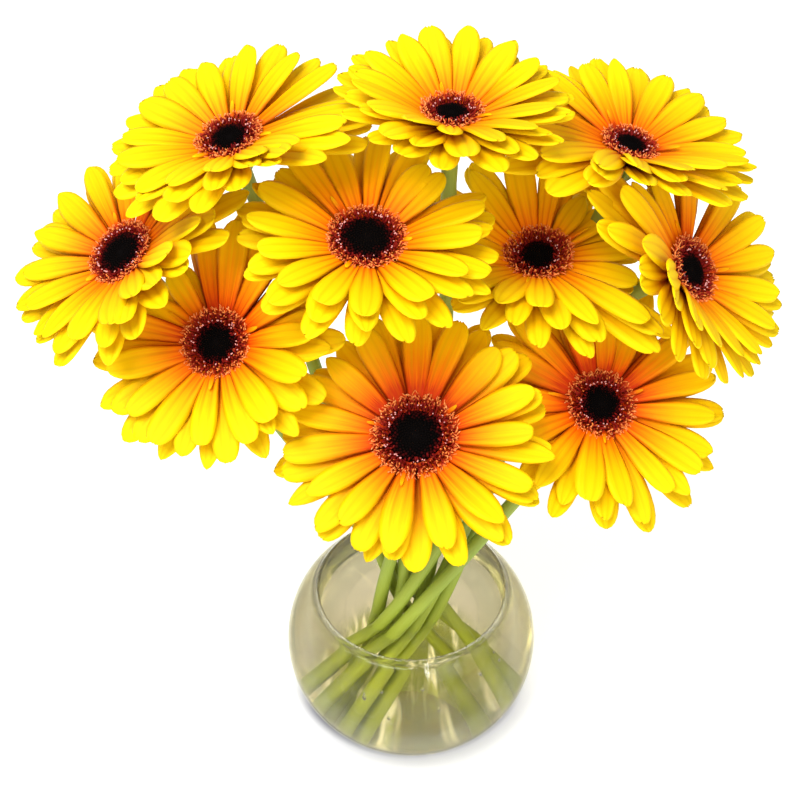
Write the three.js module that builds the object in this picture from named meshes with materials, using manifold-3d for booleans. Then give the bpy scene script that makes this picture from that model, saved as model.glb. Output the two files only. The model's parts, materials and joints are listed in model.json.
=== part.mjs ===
// Ten yellow gerberas standing in a round glass bowl of water.
// Millimetres, +Z up. The origin is the centre of the bowl's flat foot, and the viewer of the
// bouquet stands towards -Y. Every bloom has a green stem with its bract cup, yellow ray petals in
// three layers, a maroon fringe of small florets and a dark eye.
import * as THREE from "three";
import Module from "manifold-3d";

const wasm = await Module();
wasm.setup();

const DEG = Math.PI / 180;
const TURN = 2 * Math.PI;
const GAP = 0.3;                    // space left between two pieces that touch in life

// The bowl: a ball pressed a little flat, cut off at the mouth and at the foot
const BALL_RADIUS = 60;             // widest half width of the glass
const BALL_HALF_HEIGHT = 54;
const BALL_CENTRE_Z = 51;
const WALL = 2.8;                   // glass thickness
const FOOT_RADIUS = 20;
const FLOOR_Z = 5;                  // top of the thick glass floor
const FLOOR_RADIUS = 22;
const RIM_Z = 87;
const RIM_ROUNDING = 1.4;           // how far the lip is rounded over
const WATER_TOP_Z = 83.6;
const TURNED_SIDES = 24;

// The stems: they cross at the bowl's mouth and lean on the glass below it
const STEM_RADIUS = 3.4;
const STEM_SIDES = 6;
const WAIST = new THREE.Vector3(-2.6, -10, 96);
const BELOW_WAIST_PULL = 34;        // how long a stem keeps its line under the waist
const WAIST_PULL = 40;              // and above it
const UPPER_STATIONS = 9;
const LOWER_STATIONS = 5;
const FOOT_CORNER_OUT = 5.1;        // how far the slanting cut end reaches out and down, with its gap
const FOOT_CORNER_DOWN = 1.9;

// The bract cup under a bloom, as [distance below the bloom, share of the hub radius]
const CUP = [[17.5, 0.42], [13, 0.72], [8, 0.93], [4.5, 0.86]];
const CUP_SIDES = 12;
const CUP_RIB = 0.9;                // every second corner stands back by this share

// Ray petals. Layers run from the lowest to the top one.
const LAYERS = [
  { count: 12, z: -3.4, rise: 0, reach: 1.0, width: 14.4 },
  { count: 11, z: -1.7, rise: 7, reach: 0.96, width: 14.2 },
  { count: 9, z: 0, rise: 14, reach: 0.88, width: 13.2 },
];
const PETAL_HALF_THICKNESS = 0.65;
const PETAL_TROUGH = 0.8;           // the edges stand this much over the middle
const PETAL_STATIONS = [[0.42, 0.8], [0.78, 1], [1, 0.45]]; // [place along it, share of its width]
const HUB_MARGIN = 0.5;             // the petals root this far outside the eye
const ROOT_RISE = 4;                // petals leave the hub steeper than they go on, in degrees
const TIP_DROOP = [2, 13];          // how far the tips bend down, in degrees
const REACH_SPREAD = [0.93, 1.03];
const WIDTH_SPREAD = [0.88, 1.08];
const RISE_SPREAD = 1.0;
const ROLL_SPREAD = 5;
const SWEEP_SPREAD = 2.5;
const SPINE_STEPS = 12;

// Where a bloom lies under another, its petals bend down
const PRESS_STEPS = 72;
const PRESS_LIMIT = 34;
const PRESS_SLOPE = 0.5;            // a bend may change by this many degrees per degree round
const PRESS_CLEAR = 2.2;
const PRESS_REACH = 4;
const PRESS_SPAN = 60;
const TIP_SAG = 2.4;
const STEM_CLEAR = 1.6;
const SHORTEST_PETAL = 0.34;

// The fringe of small florets round the eye, and the eye
const FRINGE_TEETH = 12;
const FRINGE_SHORT = 0.86;
const FRINGE_CROWN = 3.5;
const EYE_SIDES = 10;
const EYE_TOP = 2.9;

// place of the bloom's centre, lean from upright, the way it leans (0 towards the viewer, 90 to the
// right), radius, eye radius, fringe radius, cup = how steep the petals stand, lift = how much more
// they rise on the near side, near = where that side is, pull = how long the stem keeps its line,
// over = the blooms it lies over, waist and foot = where its stem passes the waist and ends.
const BLOOMS = [
  { at: [-121.4, 39.3, 251.7], lean: 32, way: -57, radius: 54, eye: 10.4, fringe: 16.2, cup: 6, lift: 23,
    near: 336, pull: 52, over: [8], waist: [113.8, 13.67], foot: [353.5, 41.6], seed: 11 },
  { at: [-75, 60.2, 294.2], lean: 16.6, way: -53, radius: 53, eye: 8.4, fringe: 15.3, cup: 6.5, lift: 23,
    near: 296, pull: 55, over: [1, 8, 6], waist: [144.0, 7.7], foot: [348.0, 24.6], seed: 22 },
  { at: [15.6, 59.9, 305.9], lean: 1.6, way: 31, radius: 51.8, eye: 7.4, fringe: 14.3, cup: 14, lift: 9,
    near: 215, pull: 62, over: [6, 7, 4, 2], waist: [353.5, 8.44], foot: [217.7, 34.6], seed: 33 },
  { at: [91, 70.6, 284.1], lean: 14.3, way: 73.5, radius: 54.6, eye: 7.2, fringe: 13.6, cup: 7.5, lift: 23,
    near: 265, pull: 71, over: [7, 5], waist: [317.5, 13.28], foot: [226.4, 43.3], seed: 44 },
  { at: [116.9, 40.6, 242], lean: 50, way: 60, radius: 53.6, eye: 8.6, fringe: 15.8, cup: 16, lift: 8,
    near: 212, pull: 50, over: [7, 10], waist: [245.6, 13.24], foot: [187.2, 42.9], seed: 55 },
  { at: [-18.9, 27.7, 267.4], lean: 14, way: 8, radius: 56.5, eye: 11.3, fringe: 17.4, cup: 10, lift: 2,
    near: 300, pull: 66, over: [7, 8, 9], waist: [241.7, 4.52], foot: [203.6, 37.0], seed: 66 },
  { at: [54.3, 53.9, 239], lean: 14.4, way: -21, radius: 58.1, eye: 8.5, fringe: 16.6, cup: 13.9, lift: 9,
    near: 235, pull: 56, over: [10, 9], waist: [350.9, 18.18], foot: [231.9, 38.5], seed: 77 },
  { at: [-82.2, 15.8, 222.6], lean: 40, way: -20, radius: 56.5, eye: 9.3, fringe: 16.3, cup: 12, lift: 0,
    near: 300, pull: 42, over: [9], waist: [64.5, 12.61], foot: [335.6, 43.4], seed: 88 },
  { at: [1.1, -18.8, 201.4], lean: 29, way: -14, radius: 58.6, eye: 11.5, fringe: 19.2, cup: 0, lift: 3,
    near: 235, pull: 26, over: [10], waist: [192.7, 11.54], foot: [189.5, 23.8], seed: 99 },
  { at: [81.4, 13.1, 190.1], lean: 33, way: 12, radius: 57.7, eye: 9.1, fringe: 16.3, cup: 0, lift: 15,
    near: 235, pull: 34, over: [], waist: [277.0, 16.35], foot: [203.0, 42.5], seed: 110 },
];
const TOP_DOWN = [3, 2, 4, 6, 5, 1, 7, 8, 9, 10]; // every bloom comes after those that lie over it

const COLOURS = {
  glass: { color: "#e9ece2", roughness: 0.05, metalness: 0, transparent: true, opacity: 0.35 },
  water: { color: "#d5d9bd", roughness: 0.05, metalness: 0, transparent: true, opacity: 0.3 },
  stem: { color: "#8aa33c", roughness: 0.55, metalness: 0 },
  petals: { color: "#ffce0a", roughness: 0.6, metalness: 0 },
  fringe: { color: "#8a2410", roughness: 0.7, metalness: 0 },
  eye: { color: "#1c0605", roughness: 0.8, metalness: 0 },
};

// A repeatable row of numbers from 0 to 1
function numbers(seed) {
  let state = seed >>> 0;
  return () => {
    state = (Math.imul(state, 1664525) + 1013904223) >>> 0;
    return state / 4294967296;
  };
}
const between = (draw, [low, high]) => low + (high - low) * draw();
const around = (draw, spread) => (2 * draw() - 1) * spread;

// Collects corners and triangles of one closed surface
class Surface {
  constructor() {
    this.points = [];
    this.faces = [];
  }
  point(vector) {
    this.points.push(vector.x, vector.y, vector.z);
    return this.points.length / 3 - 1;
  }
  face(a, b, c) {
    this.faces.push(a, b, c);
  }
  // joins two closed loops of equal length; the second one lies further along
  band(loop, next) {
    loop.forEach((a, i) => {
      const j = (i + 1) % loop.length;
      this.face(a, loop[j], next[j]);
      this.face(a, next[j], next[i]);
    });
  }
  // closes a loop with a point, seen anticlockwise from outside
  fan(loop, tip) {
    loop.forEach((a, i) => this.face(a, loop[(i + 1) % loop.length], tip));
  }
  geometry() {
    const geometry = new THREE.BufferGeometry();
    geometry.setAttribute("position", new THREE.Float32BufferAttribute(this.points, 3));
    geometry.setIndex(this.faces);
    return geometry;
  }
}

function solidOf(geometry) {
  const position = geometry.getAttribute("position");
  return new wasm.Manifold(new wasm.Mesh({
    numProp: 3,
    vertProperties: new Float32Array(position.array),
    triVerts: new Uint32Array(geometry.getIndex().array),
  }));
}

function geometryOf(solid) {
  const mesh = solid.getMesh();
  const geometry = new THREE.BufferGeometry();
  geometry.setAttribute("position", new THREE.Float32BufferAttribute(mesh.vertProperties, 3));
  geometry.setIndex([...mesh.triVerts]);
  return geometry;
}

// A turned body from a profile of [radius, height] that starts and ends on the axis, from the
// lowest point round the outside to the top.
function turned(profile, sides) {
  const surface = new Surface();
  const [first, ...rest] = profile;
  const last = rest.pop();
  const loops = rest.map(([radius, z]) => {
    const loop = [];
    for (let i = 0; i < sides; i++) {
      const turn = (i / sides) * TURN;
      loop.push(surface.point(new THREE.Vector3(radius * Math.cos(turn), radius * Math.sin(turn), z)));
    }
    return loop;
  });
  surface.fan([...loops[0]].reverse(), surface.point(new THREE.Vector3(0, 0, first[1])));
  for (let i = 1; i < loops.length; i++) surface.band(loops[i - 1], loops[i]);
  surface.fan(loops[loops.length - 1], surface.point(new THREE.Vector3(0, 0, last[1])));
  return surface.geometry();
}

const ballRadiusAt = (z, inset) => {
  const height = BALL_HALF_HEIGHT - inset;
  const share = (z - BALL_CENTRE_Z) / height;
  return (BALL_RADIUS - inset) * Math.sqrt(Math.max(0, 1 - share * share));
};

function makeVase() {
  const outside = [6, 15, 27, 40, 52, 65, 77];
  const inside = [77, 65, 52, 39, 27, 17, 10.5];
  const profile = [[0, 0], [FOOT_RADIUS, 0]];
  for (const z of outside) profile.push([ballRadiusAt(z, 0), z]);
  const outerLip = ballRadiusAt(RIM_Z, 0);
  const innerLip = ballRadiusAt(RIM_Z, WALL);
  profile.push([outerLip, RIM_Z - RIM_ROUNDING]);
  profile.push([(2 * outerLip + innerLip) / 3, RIM_Z]);
  profile.push([(outerLip + 2 * innerLip) / 3, RIM_Z]);
  profile.push([innerLip, RIM_Z - RIM_ROUNDING]);
  for (const z of inside) profile.push([ballRadiusAt(z, WALL), z]);
  profile.push([FLOOR_RADIUS, FLOOR_Z]);
  profile.push([0, FLOOR_Z]);
  return turned(profile, TURNED_SIDES);
}

function makeWaterBody() {
  const levels = [10.5, 17, 27, 39, 52, 65, 77];
  const profile = [[0, FLOOR_Z + GAP], [FLOOR_RADIUS - GAP, FLOOR_Z + GAP]];
  for (const z of levels) profile.push([ballRadiusAt(z, WALL + GAP) - GAP / 4, z]);
  const wet = ballRadiusAt(77, WALL) + (ballRadiusAt(RIM_Z, WALL) - ballRadiusAt(77, WALL))
    * ((WATER_TOP_Z - 77) / (RIM_Z - RIM_ROUNDING - 77));
  profile.push([wet - 2 * GAP, WATER_TOP_Z]);
  profile.push([0, WATER_TOP_Z]);
  return turned(profile, TURNED_SIDES);
}

// The bloom's own directions: out of its face, to the viewer's right, and up the face
function frameOf(bloom) {
  const lean = bloom.lean * DEG;
  const way = bloom.way * DEG;
  const out = new THREE.Vector3(Math.sin(way) * Math.sin(lean), -Math.cos(way) * Math.sin(lean), Math.cos(lean));
  const right = new THREE.Vector3(1, 0, 0).addScaledVector(out, -out.x).normalize();
  const up = new THREE.Vector3().crossVectors(out, right);
  return { centre: new THREE.Vector3(...bloom.at), out, right, up };
}

const place = (frame, x, y, z) => frame.centre.clone()
  .addScaledVector(frame.right, x).addScaledVector(frame.up, y).addScaledVector(frame.out, z);

// How steep a petal stands at a place round the bloom, before it is bent down under a neighbour
function steepness(bloom, turn) {
  const near = Math.max(0, Math.cos(turn - bloom.near * DEG));
  return bloom.cup + bloom.lift * near * near;
}

// The middle line of a petal: how far out and how high it is after each share of its length
function spine(start, height, length, rise, droop) {
  const line = [[start, height, (rise + ROOT_RISE) * DEG]];
  let out = start;
  let up = height;
  for (let i = 0; i < SPINE_STEPS; i++) {
    const share = (i + 0.5) / SPINE_STEPS;
    const angle = (rise + ROOT_RISE * (1 - 2 * share) - droop * share * share) * DEG;
    out += (length / SPINE_STEPS) * Math.cos(angle);
    up += (length / SPINE_STEPS) * Math.sin(angle);
    line.push([out, up, angle]);
  }
  return line;
}

function alongSpine(line, share) {
  const step = Math.min(SPINE_STEPS - 1, Math.floor(share * SPINE_STEPS));
  const part = share * SPINE_STEPS - step;
  const [a, b] = [line[step], line[step + 1]];
  return [a[0] + (b[0] - a[0]) * part, a[1] + (b[1] - a[1]) * part, b[2]];
}

// For each bloom, how far its petals bend down round it so that they pass under the blooms above
const frames = BLOOMS.map(frameOf);
const presses = BLOOMS.map(() => new Array(PRESS_STEPS).fill(0));

function pressAt(index, turn) {
  const place = ((turn / TURN) % 1 + 1) % 1 * PRESS_STEPS;
  const step = Math.floor(place);
  const table = presses[index];
  const next = table[(step + 1) % PRESS_STEPS];
  return table[step % PRESS_STEPS] + (next - table[step % PRESS_STEPS]) * (place - step);
}

// The lowest that any petal of a bloom comes at a distance out and a place round it
function undersideOf(index, distance, turn) {
  const bloom = BLOOMS[index];
  const root = bloom.eye + HUB_MARGIN;
  const low = LAYERS[0];
  const angle = (low.rise + steepness(bloom, turn) - pressAt(index, turn) - RISE_SPREAD) * DEG;
  const share = Math.max(0, (distance - root) / (bloom.radius - root));
  return low.z - PETAL_HALF_THICKNESS + Math.max(0, distance - root) * Math.tan(angle)
    - TIP_SAG * share * share;
}

function isUnder(point, upper) {
  const frame = frames[upper];
  const offset = point.clone().sub(frame.centre);
  const height = offset.dot(frame.out);
  const x = offset.dot(frame.right);
  const y = offset.dot(frame.up);
  const distance = Math.hypot(x, y);
  if (distance > BLOOMS[upper].radius + PRESS_REACH || Math.abs(height) > PRESS_SPAN) return true;
  return height < undersideOf(upper, distance, Math.atan2(y, x)) - PRESS_CLEAR;
}

function findPress(index) {
  const bloom = BLOOMS[index];
  const above = BLOOMS.map((other, i) => i).filter((i) => BLOOMS[i].over.includes(index + 1));
  const top = LAYERS[LAYERS.length - 1];
  const root = bloom.eye + HUB_MARGIN;
  const raw = presses[index].map((_, step) => {
    const turn = (step / PRESS_STEPS) * TURN;
    for (let bend = 0; bend <= PRESS_LIMIT; bend++) {
      const rise = top.rise + RISE_SPREAD + steepness(bloom, turn) - bend;
      const line = spine(root, top.z, bloom.radius - root, rise, TIP_DROOP[0]);
      const clear = [0.3, 0.45, 0.6, 0.75, 0.9, 1].every((share) => {
        const [out, up] = alongSpine(line, share);
        const point = place(frames[index], out * Math.cos(turn), out * Math.sin(turn), up + PETAL_TROUGH);
        return above.every((upper) => isUnder(point, upper));
      });
      if (clear) return bend;
    }
    return PRESS_LIMIT;
  });
  presses[index] = raw.map((_, step) => {
    let most = 0;
    raw.forEach((bend, other) => {
      const apart = Math.min(Math.abs(step - other), PRESS_STEPS - Math.abs(step - other));
      most = Math.max(most, bend - PRESS_SLOPE * apart * (360 / PRESS_STEPS));
    });
    return most;
  });
}
for (const number of TOP_DOWN) findPress(number - 1);

// A stem's middle line from its cut end in the bowl up to the bract cup, as points with radii
function stemLine(index) {
  const bloom = BLOOMS[index];
  const frame = frames[index];
  const [waistTurn, waistOut] = bloom.waist;
  const waist = WAIST.clone().add(new THREE.Vector3(
    waistOut * Math.cos(waistTurn * DEG), waistOut * Math.sin(waistTurn * DEG), 0));
  const neck = place(frame, 0, 0, -CUP[0][0]);
  const [footTurn, footOut] = bloom.foot;
  const footX = footOut * Math.cos(footTurn * DEG);
  const footY = footOut * Math.sin(footTurn * DEG);
  // the end stands on the glass: lift it until its outer corner clears the wall
  let footZ = FLOOR_Z + GAP + FOOT_CORNER_DOWN;
  while (Math.hypot(footX, footY) + FOOT_CORNER_OUT > ballRadiusAt(footZ + FOOT_CORNER_DOWN, WALL)) footZ += 0.25;
  const foot = new THREE.Vector3(footX, footY, footZ);
  const line = waist.clone().sub(foot).normalize().multiplyScalar(2)
    .add(neck.clone().sub(waist).normalize()).normalize();
  const lower = new THREE.CubicBezierCurve3(foot,
    foot.clone().lerp(waist.clone().addScaledVector(line, -BELOW_WAIST_PULL), 0.6),
    waist.clone().addScaledVector(line, -BELOW_WAIST_PULL), waist);
  const upper = new THREE.CubicBezierCurve3(waist, waist.clone().addScaledVector(line, WAIST_PULL),
    neck.clone().addScaledVector(frame.out, -bloom.pull), neck);
  const points = [];
  for (let i = 0; i < LOWER_STATIONS; i++) points.push(lower.getPoint(i / LOWER_STATIONS));
  for (let i = 0; i <= UPPER_STATIONS; i++) points.push(upper.getPoint(i / UPPER_STATIONS));
  return points;
}
const stemLines = BLOOMS.map((_, index) => stemLine(index));

// Loops of corners round a line, each square to it, carried along without twist
function tubeLoops(surface, points, radius, sides, endDirection) {
  const directions = points.map((point, i) => {
    if (i === points.length - 1) return endDirection.clone();
    const before = points[Math.max(0, i - 1)];
    return points[i + 1].clone().sub(before).normalize();
  });
  const side = new THREE.Vector3(1, 0, 0);
  return points.map((point, i) => {
    side.addScaledVector(directions[i], -side.dot(directions[i])).normalize();
    const other = new THREE.Vector3().crossVectors(directions[i], side);
    const loop = [];
    for (let k = 0; k < sides; k++) {
      const turn = (k / sides) * TURN;
      loop.push(surface.point(point.clone()
        .addScaledVector(side, radius * Math.cos(turn)).addScaledVector(other, radius * Math.sin(turn))));
    }
    return { loop, side: side.clone(), other };
  });
}

function makeStem(index) {
  const surface = new Surface();
  const points = stemLines[index];
  const frame = frames[index];
  const root = BLOOMS[index].eye + HUB_MARGIN;
  const loops = tubeLoops(surface, points, STEM_RADIUS, STEM_SIDES, frame.out);
  surface.fan([...loops[0].loop].reverse(), surface.point(points[0]));
  for (let i = 1; i < loops.length; i++) surface.band(loops[i - 1].loop, loops[i].loop);
  // the bract cup starts with twice as many corners as the stem
  const { loop: neck, side, other } = loops[loops.length - 1];
  const cup = CUP.slice(1).map(([below, share], level) => {
    const loop = [];
    for (let k = 0; k < CUP_SIDES; k++) {
      const turn = (k / CUP_SIDES) * TURN;
      const radius = root * share * (k % 2 === level % 2 ? 1 : CUP_RIB);
      loop.push(surface.point(frame.centre.clone().addScaledVector(frame.out, -below)
        .addScaledVector(side, radius * Math.cos(turn)).addScaledVector(other, radius * Math.sin(turn))));
    }
    return loop;
  });
  const corners = CUP_SIDES / STEM_SIDES;
  neck.forEach((a, i) => {
    const b = neck[(i + 1) % neck.length];
    const fine = [0, 1, 2].map((k) => cup[0][(i * corners + k) % CUP_SIDES]);
    surface.face(a, fine[1], fine[0]);
    surface.face(a, b, fine[1]);
    surface.face(b, fine[2], fine[1]);
  });
  for (let i = 1; i < cup.length; i++) surface.band(cup[i - 1], cup[i]);
  surface.fan(cup[cup.length - 1], surface.point(place(frame, 0, 0, -CUP[CUP.length - 1][0])));
  return surface.geometry();
}

// The longest share of a petal that stays clear of the other blooms' stems and bract cups
function clearLength(index, line, turn, sweep, width) {
  const stations = [];
  for (let share = 0.25; share <= 1.001; share += 0.05) stations.push(Math.min(1, share));
  for (const share of stations) {
    const [out, up] = alongSpine(line, share);
    const bent = turn + sweep * share;
    for (const aside of [-0.5, 0, 0.5]) {
      const x = out * Math.cos(bent) - aside * width * Math.sin(bent);
      const y = out * Math.sin(bent) + aside * width * Math.cos(bent);
      const point = place(frames[index], x, y, up);
      for (let other = 0; other < BLOOMS.length; other++) {
        if (other === index) continue;
        if (stemDistance(point, other) < STEM_CLEAR) return Math.max(SHORTEST_PETAL, share - 0.08);
      }
    }
  }
  return 1;
}

// How far a point is from the skin of a stem or of its bract cup
function stemDistance(point, index) {
  const points = stemLines[index];
  let nearest = Infinity;
  const segment = new THREE.Line3();
  const closest = new THREE.Vector3();
  for (let i = 1; i < points.length; i++) {
    segment.set(points[i - 1], points[i]).closestPointToPoint(point, true, closest);
    nearest = Math.min(nearest, closest.distanceTo(point) - STEM_RADIUS);
  }
  const frame = frames[index];
  const root = BLOOMS[index].eye + HUB_MARGIN;
  segment.set(place(frame, 0, 0, -CUP[1][0]), frame.centre).closestPointToPoint(point, true, closest);
  return Math.min(nearest, closest.distanceTo(point) - root);
}

function makePetals(index) {
  const bloom = BLOOMS[index];
  const frame = frames[index];
  const draw = numbers(bloom.seed);
  const surface = new Surface();
  const root = bloom.eye + HUB_MARGIN;
  const at = (out, turn, z) => surface.point(place(frame, out * Math.cos(turn), out * Math.sin(turn), z));
  const rims = LAYERS.map((layer, level) => {
    const pitch = TURN / layer.count;
    const phase = pitch * (0.2 + 0.31 * level) + draw() * pitch;
    const edges = [];
    for (let i = 0; i < layer.count; i++) edges.push(at(root, phase + (i - 0.5) * pitch, layer.z));
    const over = [];
    const under = [];
    for (let i = 0; i < layer.count; i++) {
      const turn = phase + i * pitch;
      const top = at(root, turn, layer.z + PETAL_HALF_THICKNESS);
      const bottom = at(root, turn, layer.z - PETAL_HALF_THICKNESS);
      const next = edges[(i + 1) % layer.count];
      over.push([edges[i], turn - pitch / 2], [top, turn]);
      under.push([edges[i], turn - pitch / 2], [bottom, turn]);
      // one petal: draws come in a fixed order
      const jitter = around(draw, 0.16 * pitch);
      const reach = between(draw, REACH_SPREAD);
      const width = layer.width * between(draw, WIDTH_SPREAD);
      const rise = layer.rise + around(draw, RISE_SPREAD) + steepness(bloom, turn) - pressAt(index, turn);
      const droop = between(draw, TIP_DROOP);
      const roll = around(draw, ROLL_SPREAD) * DEG;
      const sweep = jitter + around(draw, SWEEP_SPREAD) * DEG;
      const full = bloom.radius * layer.reach * reach - root;
      const whole = spine(root, layer.z, full, rise, droop);
      const length = full * clearLength(index, whole, turn, sweep, width);
      const line = spine(root, layer.z, length, rise, droop);
      let before = [edges[i], top, next, bottom];
      for (const [share, wide] of PETAL_STATIONS) {
        const [out, up, angle] = alongSpine(line, share);
        const bent = turn + sweep * share;
        const half = (width * wide) / 2;
        const lift = PETAL_TROUGH * wide;
        const spot = (aside, raise) => {
          const a = aside * Math.cos(roll) - raise * Math.sin(roll);
          const r = aside * Math.sin(roll) + raise * Math.cos(roll);
          const o = out - r * Math.sin(angle);
          return surface.point(place(frame, o * Math.cos(bent) - a * Math.sin(bent),
            o * Math.sin(bent) + a * Math.cos(bent), up + r * Math.cos(angle)));
        };
        const loop = [spot(-half, lift), spot(0, PETAL_HALF_THICKNESS), spot(half, lift),
          spot(0, -PETAL_HALF_THICKNESS)];
        for (let k = 0; k < 4; k++) {
          const j = (k + 1) % 4;
          surface.face(before[k], loop[j], before[j]);
          surface.face(before[k], loop[k], loop[j]);
        }
        before = loop;
      }
      surface.face(before[0], before[3], before[1]);
      surface.face(before[1], before[3], before[2]);
    }
    return { over, under };
  });
  // the hub: a wall from each layer to the next, closed above and below
  for (let level = 1; level < rims.length; level++) wallBetween(surface, rims[level - 1].over, rims[level].under);
  const top = rims[rims.length - 1].over.map(([point]) => point);
  const bottom = rims[0].under.map(([point]) => point);
  surface.fan(top, surface.point(place(frame, 0, 0, LAYERS[LAYERS.length - 1].z + PETAL_HALF_THICKNESS)));
  surface.fan([...bottom].reverse(), surface.point(place(frame, 0, 0, LAYERS[0].z - PETAL_HALF_THICKNESS)));
  return surface.geometry();
}

// Fills the wall between two rims that have corners at different places round the hub
function wallBetween(surface, low, high) {
  const sorted = (rim) => {
    const list = rim.map(([point, turn]) => [point, ((turn % TURN) + TURN) % TURN]);
    list.sort((a, b) => a[1] - b[1]);
    list.push([list[0][0], list[0][1] + TURN]);
    return list;
  };
  const a = sorted(low);
  const b = sorted(high);
  let i = 0;
  let j = 0;
  while (i < a.length - 1 || j < b.length - 1) {
    if (j === b.length - 1 || (i < a.length - 1 && a[i + 1][1] < b[j + 1][1])) {
      surface.face(a[i][0], a[i + 1][0], b[j][0]);
      i += 1;
    } else {
      surface.face(a[i][0], b[j + 1][0], b[j][0]);
      j += 1;
    }
  }
}

// The height of the top petals' backs near their roots
function rootHeight(bloom, distance, turn) {
  const root = bloom.eye + HUB_MARGIN;
  const top = LAYERS[LAYERS.length - 1];
  const angle = (top.rise + ROOT_RISE + RISE_SPREAD + steepness(bloom, turn)) * DEG;
  return top.z + PETAL_HALF_THICKNESS + Math.max(0, distance - root) * (Math.tan(angle) + 0.04) + GAP;
}

function makeFringe(index) {
  const bloom = BLOOMS[index];
  const frame = frames[index];
  const surface = new Surface();
  const corners = 2 * FRINGE_TEETH;
  const inner = bloom.eye + GAP / 2;
  const crown = inner + 0.35 * (bloom.fringe - inner);
  const loops = [[], [], [], []];
  for (let k = 0; k < corners; k++) {
    const turn = (k / corners) * TURN;
    const long = k % 2 === 0;
    const tip = bloom.fringe * (long ? 1 : FRINGE_SHORT);
    const spots = [
      [inner, rootHeight(bloom, inner, turn)],
      [tip, rootHeight(bloom, tip, turn) + 0.2],
      [crown, Math.max(FRINGE_CROWN, rootHeight(bloom, crown, turn) + 1.2) + (long ? 0.5 : -0.4)],
      [inner, FRINGE_CROWN - 0.9],
    ];
    spots.forEach(([out, z], level) => {
      loops[level].push(surface.point(place(frame, out * Math.cos(turn), out * Math.sin(turn), z)));
    });
  }
  for (let level = 0; level < loops.length; level++) {
    surface.band(loops[level], loops[(level + 1) % loops.length]);
  }
  return surface.geometry();
}

function makeEye(index) {
  const bloom = BLOOMS[index];
  const frame = frames[index];
  const surface = new Surface();
  const radius = bloom.eye - GAP / 2;
  const floor = LAYERS[LAYERS.length - 1].z + PETAL_HALF_THICKNESS + GAP;
  const loop = (share, z, relief) => {
    const points = [];
    for (let k = 0; k < EYE_SIDES; k++) {
      const turn = (k / EYE_SIDES) * TURN;
      points.push(surface.point(place(frame, radius * share * Math.cos(turn), radius * share * Math.sin(turn),
        z + (k % 2 ? relief : -relief))));
    }
    return points;
  };
  const bottom = loop(1, floor, 0);
  const shoulder = loop(1, EYE_TOP - 0.9, 0.15);
  const crown = loop(0.55, EYE_TOP, 0.3);
  surface.fan([...bottom].reverse(), surface.point(place(frame, 0, 0, floor)));
  surface.band(bottom, shoulder);
  surface.band(shoulder, crown);
  surface.fan(crown, surface.point(place(frame, 0, 0, EYE_TOP + 0.1)));
  return surface.geometry();
}

// Plain holes in the water for the stems, a little wider than they are
function makeWater() {
  let water = solidOf(makeWaterBody());
  for (const points of stemLines) {
    const surface = new Surface();
    const first = points[0];
    const start = first.clone().addScaledVector(points[1].clone().sub(first).normalize(), -0.6 * STEM_RADIUS);
    const wet = [start];
    for (const point of points.slice(1)) {
      wet.push(point);
      if (point.z > WATER_TOP_Z + 4) break;
    }
    const end = wet[wet.length - 1].clone().sub(wet[wet.length - 2]).normalize();
    const loops = tubeLoops(surface, wet, STEM_RADIUS + GAP / Math.cos(Math.PI / STEM_SIDES), STEM_SIDES, end);
    surface.fan([...loops[0].loop].reverse(), surface.point(wet[0]));
    for (let i = 1; i < loops.length; i++) surface.band(loops[i - 1].loop, loops[i].loop);
    surface.fan(loops[loops.length - 1].loop, surface.point(wet[wet.length - 1]));
    water = water.subtract(solidOf(surface.geometry()));
  }
  return geometryOf(water);
}

const bouquet = new THREE.Group();
const add = (name, geometry, look) => {
  const mesh = new THREE.Mesh(geometry, new THREE.MeshStandardMaterial(look));
  mesh.name = name;
  bouquet.add(mesh);
};
add("vase", makeVase(), COLOURS.glass);
add("water", makeWater(), COLOURS.water);
BLOOMS.forEach((_, index) => {
  const number = String(index + 1).padStart(2, "0");
  add(`gerbera_${number}_stem`, makeStem(index), COLOURS.stem);
  add(`gerbera_${number}_petals`, makePetals(index), COLOURS.petals);
  add(`gerbera_${number}_fringe`, makeFringe(index), COLOURS.fringe);
  add(`gerbera_${number}_eye`, makeEye(index), COLOURS.eye);
});

export default bouquet;
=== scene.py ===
# %% [markdown]
# # Ten gerberas in a round glass bowl
#
# A bunch of large yellow gerberas stands in a clear glass bowl, half as high as the stems are long.
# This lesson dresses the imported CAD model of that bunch: the model says where every bloom, stem and
# glass wall is, and here each of them gets the shape and the finish that the eye expects.
#
# We go from the frame to the camera, then bloom by bloom from petals to eye, then stems, glass and
# water, and end with the light.

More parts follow.
